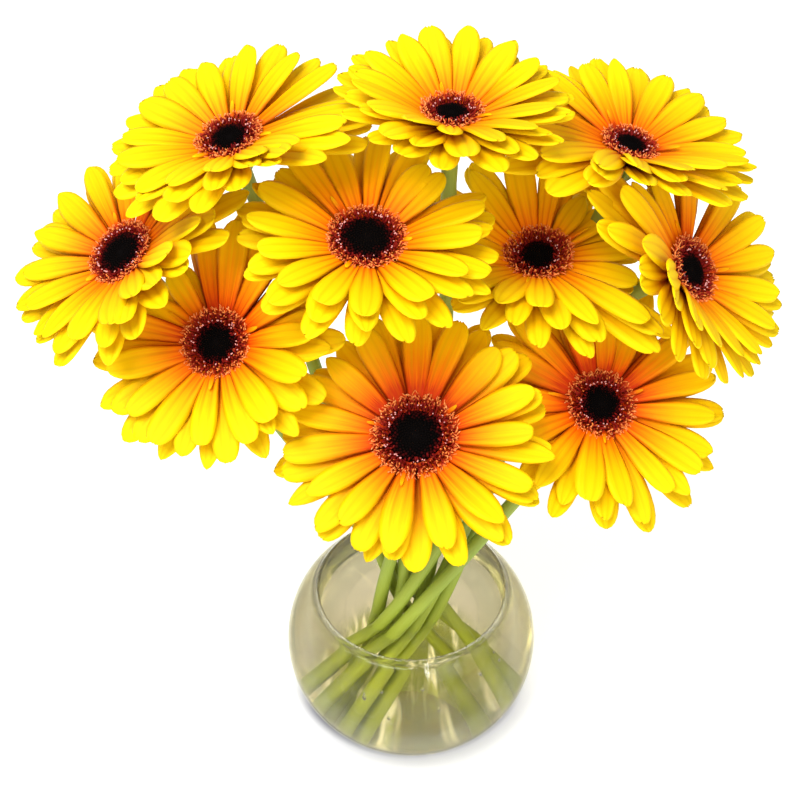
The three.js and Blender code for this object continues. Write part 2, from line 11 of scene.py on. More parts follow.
# %% Load the frame
import json
import math
import bmesh
import bpy
import numpy as np
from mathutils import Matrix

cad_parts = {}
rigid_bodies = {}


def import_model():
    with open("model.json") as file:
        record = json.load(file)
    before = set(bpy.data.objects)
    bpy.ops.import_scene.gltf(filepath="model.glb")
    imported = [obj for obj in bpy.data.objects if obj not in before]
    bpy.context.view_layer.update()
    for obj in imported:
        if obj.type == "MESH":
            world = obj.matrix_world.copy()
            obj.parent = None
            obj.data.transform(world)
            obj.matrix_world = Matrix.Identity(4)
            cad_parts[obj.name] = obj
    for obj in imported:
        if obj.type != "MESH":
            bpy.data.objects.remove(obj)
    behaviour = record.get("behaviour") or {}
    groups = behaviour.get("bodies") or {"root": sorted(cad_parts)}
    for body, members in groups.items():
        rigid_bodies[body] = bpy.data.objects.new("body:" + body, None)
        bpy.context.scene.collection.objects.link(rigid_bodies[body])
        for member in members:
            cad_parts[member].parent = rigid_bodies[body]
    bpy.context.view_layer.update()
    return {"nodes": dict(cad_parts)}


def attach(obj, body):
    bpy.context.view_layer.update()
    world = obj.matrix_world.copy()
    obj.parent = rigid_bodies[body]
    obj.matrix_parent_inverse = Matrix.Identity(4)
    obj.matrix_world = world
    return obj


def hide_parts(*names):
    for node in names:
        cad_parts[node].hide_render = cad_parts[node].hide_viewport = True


for thing in list(bpy.data.objects):
    bpy.data.objects.remove(thing)
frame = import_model()
print("CAD nodes:", len(frame["nodes"]))

MM = 0.001
TURN = 2 * math.pi

# %% [markdown]
# ## The camera
#
# The bunch is seen from the front and about 42 degrees above, from half a metre away, with a short
# telephoto lens. The camera comes first, because everything later is judged through it.

# %% Camera
CAMERA_PLACE = (-0.0054, -0.4689, 0.6272)
CAMERA_TILT = math.radians(48)
LENS = 67.5
bpy.ops.object.camera_add(location=CAMERA_PLACE, rotation=(CAMERA_TILT, 0, 0))
camera = bpy.context.object
camera.data.lens = LENS
camera.data.sensor_width = 36
camera.data.clip_start = 0.01
camera.data.clip_end = 60
bpy.context.scene.camera = camera
print("camera at", tuple(round(c, 3) for c in camera.location))

# %% [markdown]
# ## The plan of the bunch
#
# Every bloom is written down as a florist would: where its centre is, how far it leans and which way,
# how wide it is, and which blooms it lies over. All of it is in millimetres, in the same words as the
# CAD source, so petals modelled here land where the CAD petals are.
#
# `way` is 0 when a bloom leans towards the viewer and 90 when it leans right. `cup` is how steep its
# petals stand, and `lift` how much more they rise on the side called `near`.

# %% The blooms
# warmth moves a bloom's petals towards orange: partly its own colour, partly painted shade on the
# lower blooms
BLOOM_WORDS = ("at", "lean", "way", "radius", "eye", "fringe", "cup", "lift", "near", "pull", "over",
               "waist", "foot", "seed", "warmth")
BLOOMS = [dict(zip(BLOOM_WORDS, row)) for row in (
    ((-121.4, 39.3, 251.7), 32, -57, 54, 10.4, 16.2, 6, 23, 336, 52,
     (8,), (113.8, 13.67), (353.5, 41.6), 11, 0.45),
    ((-75, 60.2, 294.2), 16.6, -53, 53, 8.4, 15.3, 6.5, 23, 296, 55,
     (1, 8, 6), (144.0, 7.7), (348.0, 24.6), 22, 0.2),
    ((15.6, 59.9, 305.9), 1.6, 31, 51.8, 7.4, 14.3, 14, 9, 215, 62,
     (6, 7, 4, 2), (353.5, 8.44), (217.7, 34.6), 33, 0.3),
    ((91, 70.6, 284.1), 14.3, 73.5, 54.6, 7.2, 13.6, 7.5, 23, 265, 71,
     (7, 5), (317.5, 13.28), (226.4, 43.3), 44, 0.45),
    ((116.9, 40.6, 242), 50, 60, 53.6, 8.6, 15.8, 16, 8, 212, 50,
     (7, 10), (245.6, 13.24), (187.2, 42.9), 55, 0.5),
    ((-18.9, 27.7, 267.4), 14, 8, 56.5, 11.3, 17.4, 10, 2, 300, 66,
     (7, 8, 9), (241.7, 4.52), (203.6, 37.0), 66, 0.35),
    ((54.3, 53.9, 239), 14.4, -21, 58.1, 8.5, 16.6, 13.9, 9, 235, 56,
     (10, 9), (350.9, 18.18), (231.9, 38.5), 77, 0.25),
    ((-82.2, 15.8, 222.6), 40, -20, 56.5, 9.3, 16.3, 12, 0, 300, 42,
     (9,), (64.5, 12.61), (335.6, 43.4), 88, 0.66),
    ((1.1, -18.8, 201.4), 29, -14, 58.6, 11.5, 19.2, 0, 3, 235, 26,
     (10,), (192.7, 11.54), (189.5, 23.8), 99, 0.85),
    ((81.4, 13.1, 190.1), 33, 12, 57.7, 9.1, 16.3, 0, 15, 235, 34,
     (), (277.0, 16.35), (203.0, 42.5), 110, 0.85),
)]
TOP_DOWN = (3, 2, 4, 6, 5, 1, 7, 8, 9, 10)  # every bloom comes after those that lie over it

HUB_MARGIN = 0.5
for bloom in BLOOMS:
    bloom["root"] = bloom["eye"] + HUB_MARGIN  # the hub's radius, where the petals start


class Face:
    """A bloom's own directions: out of its face, to the viewer's right, and up the face."""

    def __init__(self, bloom):
        lean, way = math.radians(bloom["lean"]), math.radians(bloom["way"])
        self.centre = np.array(bloom["at"], float)
        self.out = np.array((math.sin(way) * math.sin(lean), -math.cos(way) * math.sin(lean),
                             math.cos(lean)))
        right = np.array((1.0, 0, 0)) - self.out[0] * self.out
        self.right = right / np.linalg.norm(right)
        self.up = np.cross(self.out, self.right)

    def place(self, x, y, z):
        """Points of the bloom's own frame, as points of the bunch."""
        x, y, z = (np.asarray(value, float)[..., None] for value in (x, y, z))
        return self.centre + x * self.right + y * self.up + z * self.out

    def ray(self, turn, out, aside, height):
        """Points out from the middle at a turn, aside to the right of that, over the face."""
        return self.place(out * np.cos(turn) + aside * np.sin(turn),
                          out * np.sin(turn) - aside * np.cos(turn), height)


faces = [Face(bloom) for bloom in BLOOMS]


class Draw:
    """A repeatable row of numbers, so that a bloom comes out the same each time."""

    MULTIPLIER, STEP, RANGE = 1664525, 1013904223, 2 ** 32

    def __init__(self, seed):
        self.state = seed

    def between(self, low, high):
        self.state = (self.state * self.MULTIPLIER + self.STEP) % self.RANGE
        return low + (high - low) * (self.state / self.RANGE)

    def around(self, spread):
        return self.between(-spread, spread)


print("blooms:", len(BLOOMS))

# %% [markdown]
# ## How a petal runs
#
# Seen from the side a gerbera petal leaves the flower's hub at a slope, arches, and droops a little
# at its tip. That middle line is worked out in small steps. Where a bloom lies under another one, its
# petals have to pass below, so each bloom also keeps a table of how far they bend down all round it.
# A real bunch settles in the same way: the soft petals give and the stems don't.

# %% The petals' middle lines
LOWEST_PETAL_Z, TOP_PETAL_Z, TOP_PETAL_RISE = -3.4, 0.0, 14
ROOT_RISE, RISE_SPREAD, SPINE_STEPS = 4, 1.0, 12
SHARES = np.linspace(0, 1, SPINE_STEPS + 1)


def steepness(bloom, turn):
    near = max(0.0, math.cos(turn - math.radians(bloom["near"])))
    return bloom["cup"] + bloom["lift"] * near * near


def spine(start, height, length, rise, droop):
    """Distance out, height and slope of a petal's middle line, at equal steps along it."""
    middle = (np.arange(SPINE_STEPS) + 0.5) / SPINE_STEPS
    slope = np.radians(rise + ROOT_RISE * (1 - 2 * middle) - droop * middle * middle)
    step = length / SPINE_STEPS
    out = start + np.concatenate(([0], np.cumsum(step * np.cos(slope))))
    up = height + np.concatenate(([0], np.cumsum(step * np.sin(slope))))
    return out, up, np.concatenate(([math.radians(rise + ROOT_RISE)], slope))


# %% Petals bend down under the blooms above them
PRESS_STEPS, PRESS_LIMIT, PRESS_SLOPE = 72, 34, 0.5
PRESS_CLEAR, PRESS_REACH, PRESS_SPAN, TIP_SAG = 2.2, 4, 60, 2.4
PETAL_HALF_THICKNESS, PETAL_TROUGH, LEAST_DROOP = 0.65, 0.8, 2
TESTED = np.array((0.3, 0.45, 0.6, 0.75, 0.9, 1))  # places along a petal that have to pass below
presses = [[0.0] * PRESS_STEPS for _ in BLOOMS]


def press_at(index, turn):
    place = (turn / TURN) % 1 * PRESS_STEPS
    step = int(place) % PRESS_STEPS
    here, after = presses[index][step], presses[index][(step + 1) % PRESS_STEPS]
    return here + (after - here) * (place - int(place))


def underside(index, distance, turn):
    """The lowest that any petal of a bloom comes at a distance out and a place round it."""
    bloom, root = BLOOMS[index], BLOOMS[index]["root"]
    slope = math.radians(steepness(bloom, turn) - press_at(index, turn) - RISE_SPREAD)
    share = max(0.0, (distance - root) / (bloom["radius"] - root))
    return (LOWEST_PETAL_Z - PETAL_HALF_THICKNESS + max(0.0, distance - root) * math.tan(slope)
            - TIP_SAG * share * share)


def is_under(point, upper):
    face = faces[upper]
    x, y, height = (float((point - face.centre) @ way) for way in (face.right, face.up, face.out))
    distance = math.hypot(x, y)
    if distance > BLOOMS[upper]["radius"] + PRESS_REACH or abs(height) > PRESS_SPAN:
        return True
    return height < underside(upper, distance, math.atan2(y, x)) - PRESS_CLEAR


def needed_bend(index, turn, above):
    bloom, root = BLOOMS[index], BLOOMS[index]["root"]
    for bend in range(PRESS_LIMIT + 1):
        rise = TOP_PETAL_RISE + RISE_SPREAD + steepness(bloom, turn) - bend
        out, up, _ = spine(root, TOP_PETAL_Z, bloom["radius"] - root, rise, LEAST_DROOP)
        out, up = np.interp(TESTED, SHARES, out), np.interp(TESTED, SHARES, up)
        line = faces[index].ray(turn, out, 0, up + PETAL_TROUGH)
        if all(is_under(point, upper) for point in line for upper in above):
            return bend
    return PRESS_LIMIT


for number in TOP_DOWN:
    lying_over = [other for other, bloom in enumerate(BLOOMS) if number in bloom["over"]]
    raw = [needed_bend(number - 1, step / PRESS_STEPS * TURN, lying_over)
           for step in range(PRESS_STEPS)]
    for step in range(PRESS_STEPS):
        apart = [min(abs(step - other), PRESS_STEPS - abs(step - other))
                 for other in range(PRESS_STEPS)]
        presses[number - 1][step] = max(0.0, max(
            bend - PRESS_SLOPE * gap * 360 / PRESS_STEPS for bend, gap in zip(raw, apart)))
    print(f"bloom {number:2d} bends down by up to {max(presses[number - 1]):.0f} degrees")

# %% [markdown]
# ## The stems' lines
#
# A stem leans on the bowl's rim and stands on the glass at the far side, so the ten of them cross at
# the mouth, which is what holds a loose bunch up. One smooth curve goes from the cut end to a point
# near the mouth and a second one from there to the bloom's neck, both in the same direction there.

# %% Stem lines
STEM_RADIUS, NECK_BELOW, CUP_BELOW = 3.4, 17.5, 13
WAIST = np.array((-2.6, -10.0, 96.0))  # the stems cross round this point, near the mouth
BELOW_WAIST_PULL, WAIST_PULL, FOOT_PULL = 34, 40, 0.6
FOOT_CORNER_OUT, FOOT_CORNER_DOWN, FOOT_CLIMB = 5.1, 1.9, 0.25
BALL_RADIUS, BALL_HALF_HEIGHT, BALL_CENTRE_Z = 60, 54, 51
WALL, FLOOR_Z, RIM_Z, WATER_TOP_Z, GAP = 2.8, 5, 87, 83.6, 0.3
LOWER_STEPS, UPPER_STEPS = 16, 26


def ball_radius(z, inset):
    share = (z - BALL_CENTRE_Z) / (BALL_HALF_HEIGHT - inset)
    return (BALL_RADIUS - inset) * math.sqrt(max(0.0, 1 - share * share))


def bezier(a, b, c, d, shares):
    t = shares[:, None]
    return (1 - t) ** 3 * a + 3 * (1 - t) ** 2 * t * b + 3 * (1 - t) * t * t * c + t ** 3 * d


def unit(vector):
    return vector / np.linalg.norm(vector)


def polar(turn, out, height):
    """A point from a direction in degrees, a distance from the axis and a height."""
    turn = math.radians(turn)
    return np.array((out * math.cos(turn), out * math.sin(turn), height))


def stem_line(index):
    bloom, face = BLOOMS[index], faces[index]
    waist, neck = WAIST + polar(*bloom["waist"], 0), face.place(0, 0, -NECK_BELOW)
    foot = polar(*bloom["foot"], FLOOR_Z + GAP + FOOT_CORNER_DOWN)
    while bloom["foot"][1] + FOOT_CORNER_OUT > ball_radius(foot[2] + FOOT_CORNER_DOWN, WALL):
        foot[2] += FOOT_CLIMB
    line = unit(2 * unit(waist - foot) + unit(neck - waist))
    below = waist - BELOW_WAIST_PULL * line
    lower = bezier(foot, foot + FOOT_PULL * (below - foot), below, waist,
                   np.arange(LOWER_STEPS) / LOWER_STEPS)
    upper = bezier(waist, waist + WAIST_PULL * line, neck - bloom["pull"] * face.out, neck,
                   np.arange(UPPER_STEPS + 1) / UPPER_STEPS)
    return np.concatenate((lower, upper))


stem_lines = [stem_line(index) for index in range(len(BLOOMS))]
print("stem lengths, mm:", [round(float(np.linalg.norm(np.diff(line, axis=0), axis=1).sum()))
                            for line in stem_lines])

# %% [markdown]
# ## Small helpers
#
# In edit mode an operator works on whatever is selected, so corners are always picked by their place
# first. A model is made once; its copies each get their own mesh, whose corners are then moved by a
# rule, and all the copies of one kind in one bloom are joined into one piece.


# %% Picking, moving and joining
def choose(*pieces):
    """Selects just these pieces; an operator then works on them, or on the first alone."""
    bpy.ops.object.select_all(action="DESELECT")
    for piece in pieces:
        piece.select_set(True)
    bpy.context.view_layer.objects.active = pieces[0]


def edit(piece):
    choose(piece)
    bpy.ops.object.mode_set(mode="EDIT")


def done():
    bpy.ops.object.mode_set(mode="OBJECT")


def settle(piece):
    """Puts a piece's place, turn and size into its mesh."""
    choose(piece)
    bpy.ops.object.transform_apply(location=True, rotation=True, scale=True)


def pick(piece, wanted):
    """In edit mode, selects just the corners that the test wants."""
    corners = bmesh.from_edit_mesh(piece.data)
    for corner in corners.verts:
        corner.select = bool(wanted(corner.co))
    corners.select_flush_mode()
    bmesh.update_edit_mesh(piece.data)


def shift(x, y, z):
    bpy.ops.transform.translate(value=(x, y, z))


def resize(x, y, z, **about):
    bpy.ops.transform.resize(value=(x, y, z), **about)


def grow(x, y, z):
    """Extrudes what is picked by one step; after that its new end is picked."""
    bpy.ops.mesh.extrude_region_move(TRANSFORM_OT_translate={"value": (x, y, z)})


def grow_rings(rings):
    """Grows a picked disc upwards through rings of a height and a width each."""
    for (height, width), (next_height, next_width) in zip(rings, rings[1:]):
        grow(0, 0, next_height - height)
        resize(next_width / width, next_width / width, 1)


def disc(sides, radius=1, height=0):
    """A flat disc, in edit mode and all picked, ready to be grown upwards."""
    bpy.ops.mesh.primitive_circle_add(vertices=sides, radius=radius, fill_type="NGON",
                                      location=(0, 0, height))
    settle(bpy.context.object)
    edit(bpy.context.object)
    bpy.ops.mesh.select_all(action="SELECT")
    return bpy.context.object


def sheet(columns, rows):
    """A flat grid, 1 wide across X and 1 long along Y from the origin."""
    bpy.ops.mesh.primitive_grid_add(x_subdivisions=columns, y_subdivisions=rows, size=1,
                                    location=(0, 0.5, 0))
    settle(bpy.context.object)
    return bpy.context.object


def finish_modifier(piece, kind, **settings):
    """Adds a modifier, sets it and applies it."""
    choose(piece)
    made = piece.modifiers.new(kind.title(), kind)
    for word, value in settings.items():
        setattr(made, word, value)
    bpy.ops.object.modifier_apply(modifier=made.name)


def corners_of(piece):
    found = np.empty(len(piece.data.vertices) * 3, np.float32)
    piece.data.vertices.foreach_get("co", found)
    return found.reshape(-1, 3).astype(float)


def move_corners(piece, points):
    piece.data.vertices.foreach_set("co", np.ascontiguousarray(points, np.float32).ravel())
    piece.data.update()


def note(piece, **notes):
    """Writes numbers for every corner, which a material can read by their name."""
    for name, values in notes.items():
        layer = piece.data.attributes.new(name, "FLOAT", "POINT")
        layer.data.foreach_set("value", np.broadcast_to(
            np.asarray(values, np.float32), len(piece.data.vertices)).copy())


def copy_of(model, name):
    copy = bpy.data.objects.new(name, model.data.copy())
    bpy.context.scene.collection.objects.link(copy)
    return copy


def join(pieces, name):
    choose(*pieces)
    bpy.ops.object.join()
    pieces[0].name = pieces[0].data.name = name
    return pieces[0]


def remove(*models):
    for model in models:
        bpy.data.objects.remove(model)


def declare(piece, slot, *nodes):
    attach(piece, "root")
    if nodes:
        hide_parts(*nodes)


def for_every_bloom(make, kind, salt, pepper):
    """Makes and joins one piece per bloom, which replaces the solid of its kind there."""
    made = []
    for index, (bloom, face) in enumerate(zip(BLOOMS, faces)):
        parts = make(index, bloom, face, Draw(bloom["seed"] * salt + pepper))
        made.append(join(parts, f"bloom_{index + 1:02d}_{kind}"))
        declare(made[-1], kind, f"gerbera_{index + 1:02d}_{kind}")
    print(kind, "faces in all:", sum(len(piece.data.polygons) for piece in made))
    return made


def dress(pieces, material):
    for piece in pieces:
        piece.data.materials.clear()
        piece.data.materials.append(material)
    print(material.name, "nodes:", len(material.node_tree.nodes))


# %% [markdown]
# ## Finishes: a small language for materials
#
# A procedural material is a web of nodes. Written one by one it is hard to read, so a `Value` wraps
# one socket and lets us write its maths as plain expressions such as `1 - 0.4 * groove`, and a
# `Finish` is one material with a single method that adds any other node.


# %% Values and finishes
class Value:
    """A number that changes over a surface."""

    def __init__(self, finish, socket):
        self.finish, self.socket = finish, socket

    def maths(self, operation, *operands):
        node = self.finish.node("Math", {"operation": operation}, dict(enumerate(operands)))
        return Value(self.finish, node.outputs[0])

    def __add__(self, other): return self.maths("ADD", self, other)
    def __sub__(self, other): return self.maths("SUBTRACT", self, other)
    def __mul__(self, other): return self.maths("MULTIPLY", self, other)
    def __radd__(self, other): return self.maths("ADD", other, self)
    def __rsub__(self, other): return self.maths("SUBTRACT", other, self)
    def __rmul__(self, other): return self.maths("MULTIPLY", other, self)
    def __abs__(self): return self.maths("ABSOLUTE", self)

    def ramp(self, low, high):
        """0 below low, 1 above high, and smooth between them."""
        node = self.finish.node("MapRange", {"interpolation_type": "SMOOTHSTEP"},
                                {"Value": self, "From Min": low, "From Max": high})
        return Value(self.finish, node.outputs["Result"])


class Finish:
    """One material, made of nodes."""

    def __init__(self, name):
        self.material = bpy.data.materials.new(name)
        self.material.use_nodes = True
        self.tree = self.material.node_tree
        self.tree.nodes.clear()

    def node(self, kind, settings=None, sockets=None):
        made = self.tree.nodes.new("ShaderNode" + kind)
        for word, value in (settings or {}).items():
            if word == "stops":
                ramp = made.color_ramp.elements
                for place, _ in value[1:-1]:
                    ramp.new(place)
                for stop, (place, colour) in zip(ramp, value):
                    stop.position, stop.color = place, (*colour, 1)
            else:
                setattr(made, word, value)
        for word, value in (sockets or {}).items():
            socket = made.inputs[word]
            if isinstance(value, Value):
                self.tree.links.new(value.socket, socket)
            elif isinstance(value, bpy.types.NodeSocket):
                self.tree.links.new(value, socket)
            else:
                socket.default_value = value
        return made

    def value(self, kind, output, settings=None, sockets=None):
        return Value(self, self.node(kind, settings, sockets).outputs[output])

    def attribute(self, name):
        return self.value("Attribute", "Fac", {"attribute_name": name})

    def vector(self, x, y, z):
        return self.node("CombineXYZ", None, {"X": x, "Y": y, "Z": z}).outputs[0]

    def parts(self, vector):
        """The three numbers of a vector."""
        parts = self.node("SeparateXYZ", None, {"Vector": vector}).outputs
        return [Value(self, part) for part in parts]

    def place(self):
        return self.node("TexCoord").outputs["Object"]

    def noise(self, vector, scale, detail=2.0, roughness=0.5):
        return self.value("TexNoise", "Fac", None, {"Vector": vector, "Scale": scale,
                                                    "Detail": detail, "Roughness": roughness})

    def colours(self, where, stops):
        """A row of colours, each with its place, read at a value."""
        return self.node("ValToRGB", {"stops": stops}, {"Fac": where}).outputs["Color"]

    def mix(self, share, first, second, blend="MIX"):
        both = [(*c, 1) if isinstance(c, tuple) else c for c in (first, second)]
        return self.node("Mix", {"data_type": "RGBA", "blend_type": blend},
                         {0: share, 6: both[0], 7: both[1]}).outputs[2]

    def dim(self, colour, share):
        return self.mix(1.0, colour, self.vector(share, share, share), "MULTIPLY")

    def bump(self, height, strength, distance):
        return self.node("Bump", None, {"Height": height, "Strength": strength,
                                        "Distance": distance}).outputs["Normal"]

    def skin(self, **sockets):
        """The Principled shader; socket names are written with _ for a space."""
        named = {word.replace("_", " "): value for word, value in sockets.items()}
        return self.node("BsdfPrincipled", None, named).outputs["BSDF"]

    def end(self, **ends):
        self.node("OutputMaterial", None, ends)
        return self.material

    def shade(self, **sockets):
        return self.end(Surface=self.skin(**sockets))


print("materials are written as", Finish.__name__, "and", Value.__name__)

# %% [markdown]
# ## One petal
#
# A gerbera petal is a narrow strap: slim where it leaves the hub, broadest three quarters along, and
# blunt at its end. Two faint furrows run from end to end and its edges turn down.
#
# It could be cut out of a subdivided sheet with a texture, but then the furrows would be painted.
# Here a flat grid of 6 by 10 faces is shaped instead: its columns are raised and lowered, its
# rows are crowded towards the tip and drawn in to the petal's width so that the tip comes out round,
# and Solidify gives it a thickness. Four kinds are made, since no bloom has only one.

# %% Petal models
PETAL_LENGTH, PETAL_WIDTH = 0.040, 0.0130
PETAL_COLUMNS, PETAL_ROWS = 6, 10
RIDGES = (-0.66, 0.36, -0.46, 0.42, -0.46, 0.36, -0.66)  # height of each column, in mm
PETAL_SKIN = 0.0003
ROW_PLACES = (0.0, 0.14, 0.29, 0.44, 0.58, 0.70, 0.80, 0.88, 0.94, 0.98, 1.0)
BROAD = (0.46, 0.58, 0.74, 0.90, 0.99, 1.0, 0.94, 0.81, 0.62, 0.40, 0.13)
BLUNT = (0.46, 0.58, 0.74, 0.89, 0.98, 1.0, 0.97, 0.88, 0.72, 0.54, 0.28)
SLIM = (0.46, 0.60, 0.78, 0.93, 1.0, 0.97, 0.87, 0.69, 0.47, 0.28, 0.07)
EVEN_END = (-0.004, -0.001, 0.0, 0.0, 0.0, -0.001, -0.004)
NOTCHED_END = (-0.010, 0.002, -0.012, 0.004, -0.010, 0.002, -0.012)
SKEW_END = (0.004, 0.006, 0.004, -0.002, -0.008, -0.016, -0.026)
END_SHARES, END_FLATTER = (0.3, 0.7, 1.0), 0.6  # how far the last three rows follow the end
TINY = 1e-5


def make_petal(name, widths, end):
    petal = sheet(PETAL_COLUMNS, PETAL_ROWS)
    petal.scale = (PETAL_WIDTH, PETAL_LENGTH, 1)
    settle(petal)
    edit(petal)
    for column, height in enumerate(RIDGES):
        side = (column / PETAL_COLUMNS - 0.5) * PETAL_WIDTH
        pick(petal, lambda at: abs(at.x - side) < TINY)
        shift(0, 0, height * MM)
    for row in reversed(range(1, PETAL_ROWS)):  # the rows near the tip move first, to stay apart
        before, after = row / PETAL_ROWS * PETAL_LENGTH, ROW_PLACES[row] * PETAL_LENGTH
        pick(petal, lambda at: abs(at.y - before) < TINY)
        shift(0, after - before, 0)
    for place, width in zip(ROW_PLACES, widths):
        along = place * PETAL_LENGTH
        pick(petal, lambda at: abs(at.y - along) < TINY)
        resize(width, 1, 1 - END_FLATTER * (1 - width) * (place > 0.5), center_override=(0, along, 0))
    for column, pull in enumerate(end):
        for place, width, share in zip(ROW_PLACES[-3:], widths[-3:], END_SHARES):
            side = (column / PETAL_COLUMNS - 0.5) * PETAL_WIDTH * width
            along = place * PETAL_LENGTH
            pick(petal, lambda at: abs(at.x - side) < TINY and abs(at.y - along) < TINY)
            shift(0, pull * share * PETAL_LENGTH, 0)
    done()
    finish_modifier(petal, "SOLIDIFY", thickness=PETAL_SKIN, offset=-1)
    bpy.ops.object.shade_smooth()
    at = corners_of(petal)
    back = np.zeros(len(at))
    back[(PETAL_COLUMNS + 1) * (PETAL_ROWS + 1):] = 1  # Solidify adds the underside after the top
    note(petal, back=back, along=np.clip(at[:, 1] / PETAL_LENGTH, 0, 1))
    petal.name = name
    print(name, len(petal.data.polygons), "faces", np.ptp(at, axis=0).round(4))
    return petal


petal_kinds = [make_petal(*words) for words in (
    ("petal_round", BROAD, EVEN_END), ("petal_blunt", BLUNT, NOTCHED_END),
    ("petal_skew", BROAD, SKEW_END), ("petal_slim", SLIM, EVEN_END))]

# %% [markdown]
# ## Petals round a bloom
#
# The petals stand in three close layers, the upper ones shorter and steeper, with a few narrow straps
# inside them. Each copy is laid along its own middle line, rolled a little so that it lies over its
# neighbour like a roof tile, and given its own droop, twist and ripple.
#
# A petal under another bloom bends down, a little less than full clearance would ask, since soft
# petals lie against each other. One that would run into another bloom's stem stops short of it, but
# no petal gets shorter than a little over half: behind the faces some still cross a stem.

# %% Petal layers
LAYERS = (
    {"count": 17, "z": -3.4, "rise": 0, "reach": 1.0, "width": 12.6},
    {"count": 16, "z": -1.7, "rise": 6.5, "reach": 0.97, "width": 12.6},
    {"count": 15, "z": 0.0, "rise": 13, "reach": 0.90, "width": 12.2},
    {"count": 3, "z": 0.5, "rise": 26, "reach": 0.40, "width": 1.8},
)
STEM_CLEAR, SHORTEST_PETAL, LEFT_OUT = 1.6, 0.58, 0.08
PRESSED_SHARE, STEEPEST = 0.86, 35
PRESSED_REACH = 0.010  # a petal that is bent down has grown longer, by this share per degree
PHASE, PHASE_PER_LAYER, UNEVEN_PITCH = 0.2, 0.31, 0.14
COMMON_KINDS = 3.6  # one petal in six is of the slim fourth kind
WIDTHS, LENGTHS, STRAP_LENGTHS = (0.86, 1.12), (0.94, 1.03), (0.75, 1.15)
UNEVEN_RISE, DROOPS, UNEVEN_SWEEP = 1.6, (2, 15), 3.5  # in degrees, as are the next three
ROLL, UNEVEN_ROLL, UNEVEN_TWIST = 5, 4, 9
CURLS, RIPPLES, RIPPLE_WAVES = (-0.2, 0.9), (0, 0.35), 0.9  # in millimetres, and waves in a petal
STRAP_WARMTH, HUB_WARMTH = 0.9, 3.0


def stem_distance(points, index):
    """How far points are from the skin of a stem or of its bract cup."""
    face = faces[index]
    line = stem_lines[index]
    cup = np.array((face.place(0, 0, -CUP_BELOW), face.centre))
    starts = np.concatenate((line[:-1], cup[:1]))
    spans = np.concatenate((line[1:] - line[:-1], cup[1:] - cup[:1]))
    radii = np.full(len(starts), STEM_RADIUS)
    radii[-1] = BLOOMS[index]["root"]
    offset = points[:, None] - starts
    share = np.clip((offset * spans).sum(2) / (spans * spans).sum(1), 0, 1)
    return (np.linalg.norm(offset - share[..., None] * spans, axis=2) - radii).min()


def clear_length(index, line, turn, sweep, width):
    """The longest share of a petal that stays clear of the other blooms' stems and cups."""
    for share in np.arange(0.25, 1.01, 0.05):
        out, up = np.interp(share, SHARES, line[0]), np.interp(share, SHARES, line[1])
        points = faces[index].ray(turn + sweep * share, out, np.array((-0.5, 0, 0.5)) * width, up)
        for other in range(len(BLOOMS)):
            if other != index and stem_distance(points, other) < STEM_CLEAR:
                return max(SHORTEST_PETAL, share - LEFT_OUT)
    return 1.0


def bend_petal(petal, face, line, turn, sweep, width, roll, twist, curl, ripple):
    """Lays a petal model along a middle line. Everything is in millimetres and radians."""
    at = corners_of(petal)
    share = np.clip(at[:, 1] / PETAL_LENGTH, 0, 1)
    across = at[:, 0] / PETAL_WIDTH * width
    out, up, slope = (np.interp(share, SHARES, part) for part in line)
    side = across / (width / 2)
    wave = np.sin(share * TURN * RIPPLE_WAVES + ripple[1])
    height = at[:, 2] / MM + curl * side ** 2 * share + ripple[0] * wave * side
    turned = roll + twist * share
    aside = across * np.cos(turned) - height * np.sin(turned)
    raised = across * np.sin(turned) + height * np.cos(turned)
    points = face.ray(turn + sweep * share, out - raised * np.sin(slope), aside,
                      up + raised * np.cos(slope))
    move_corners(petal, points * MM)


def make_hub(face, root):
    """The disc that all petals grow from, hidden by the fringe and the bract cup."""
    bpy.ops.mesh.primitive_cylinder_add(vertices=24, radius=root + 0.6, depth=5.2,
                                        location=(0, 0, -2))
    hub = bpy.context.object
    edit(hub)
    pick(hub, lambda at: at.z < 0)
    resize(0.86, 0.86, 1)
    bpy.ops.mesh.select_all(action="SELECT")
    bpy.ops.mesh.bevel(offset=0.8, segments=2, affect="EDGES")
    done()
    settle(hub)
    move_corners(hub, face.place(*corners_of(hub).T) * MM)
    note(hub, back=0, along=0, tone=0.5, warmth=HUB_WARMTH)
    return hub


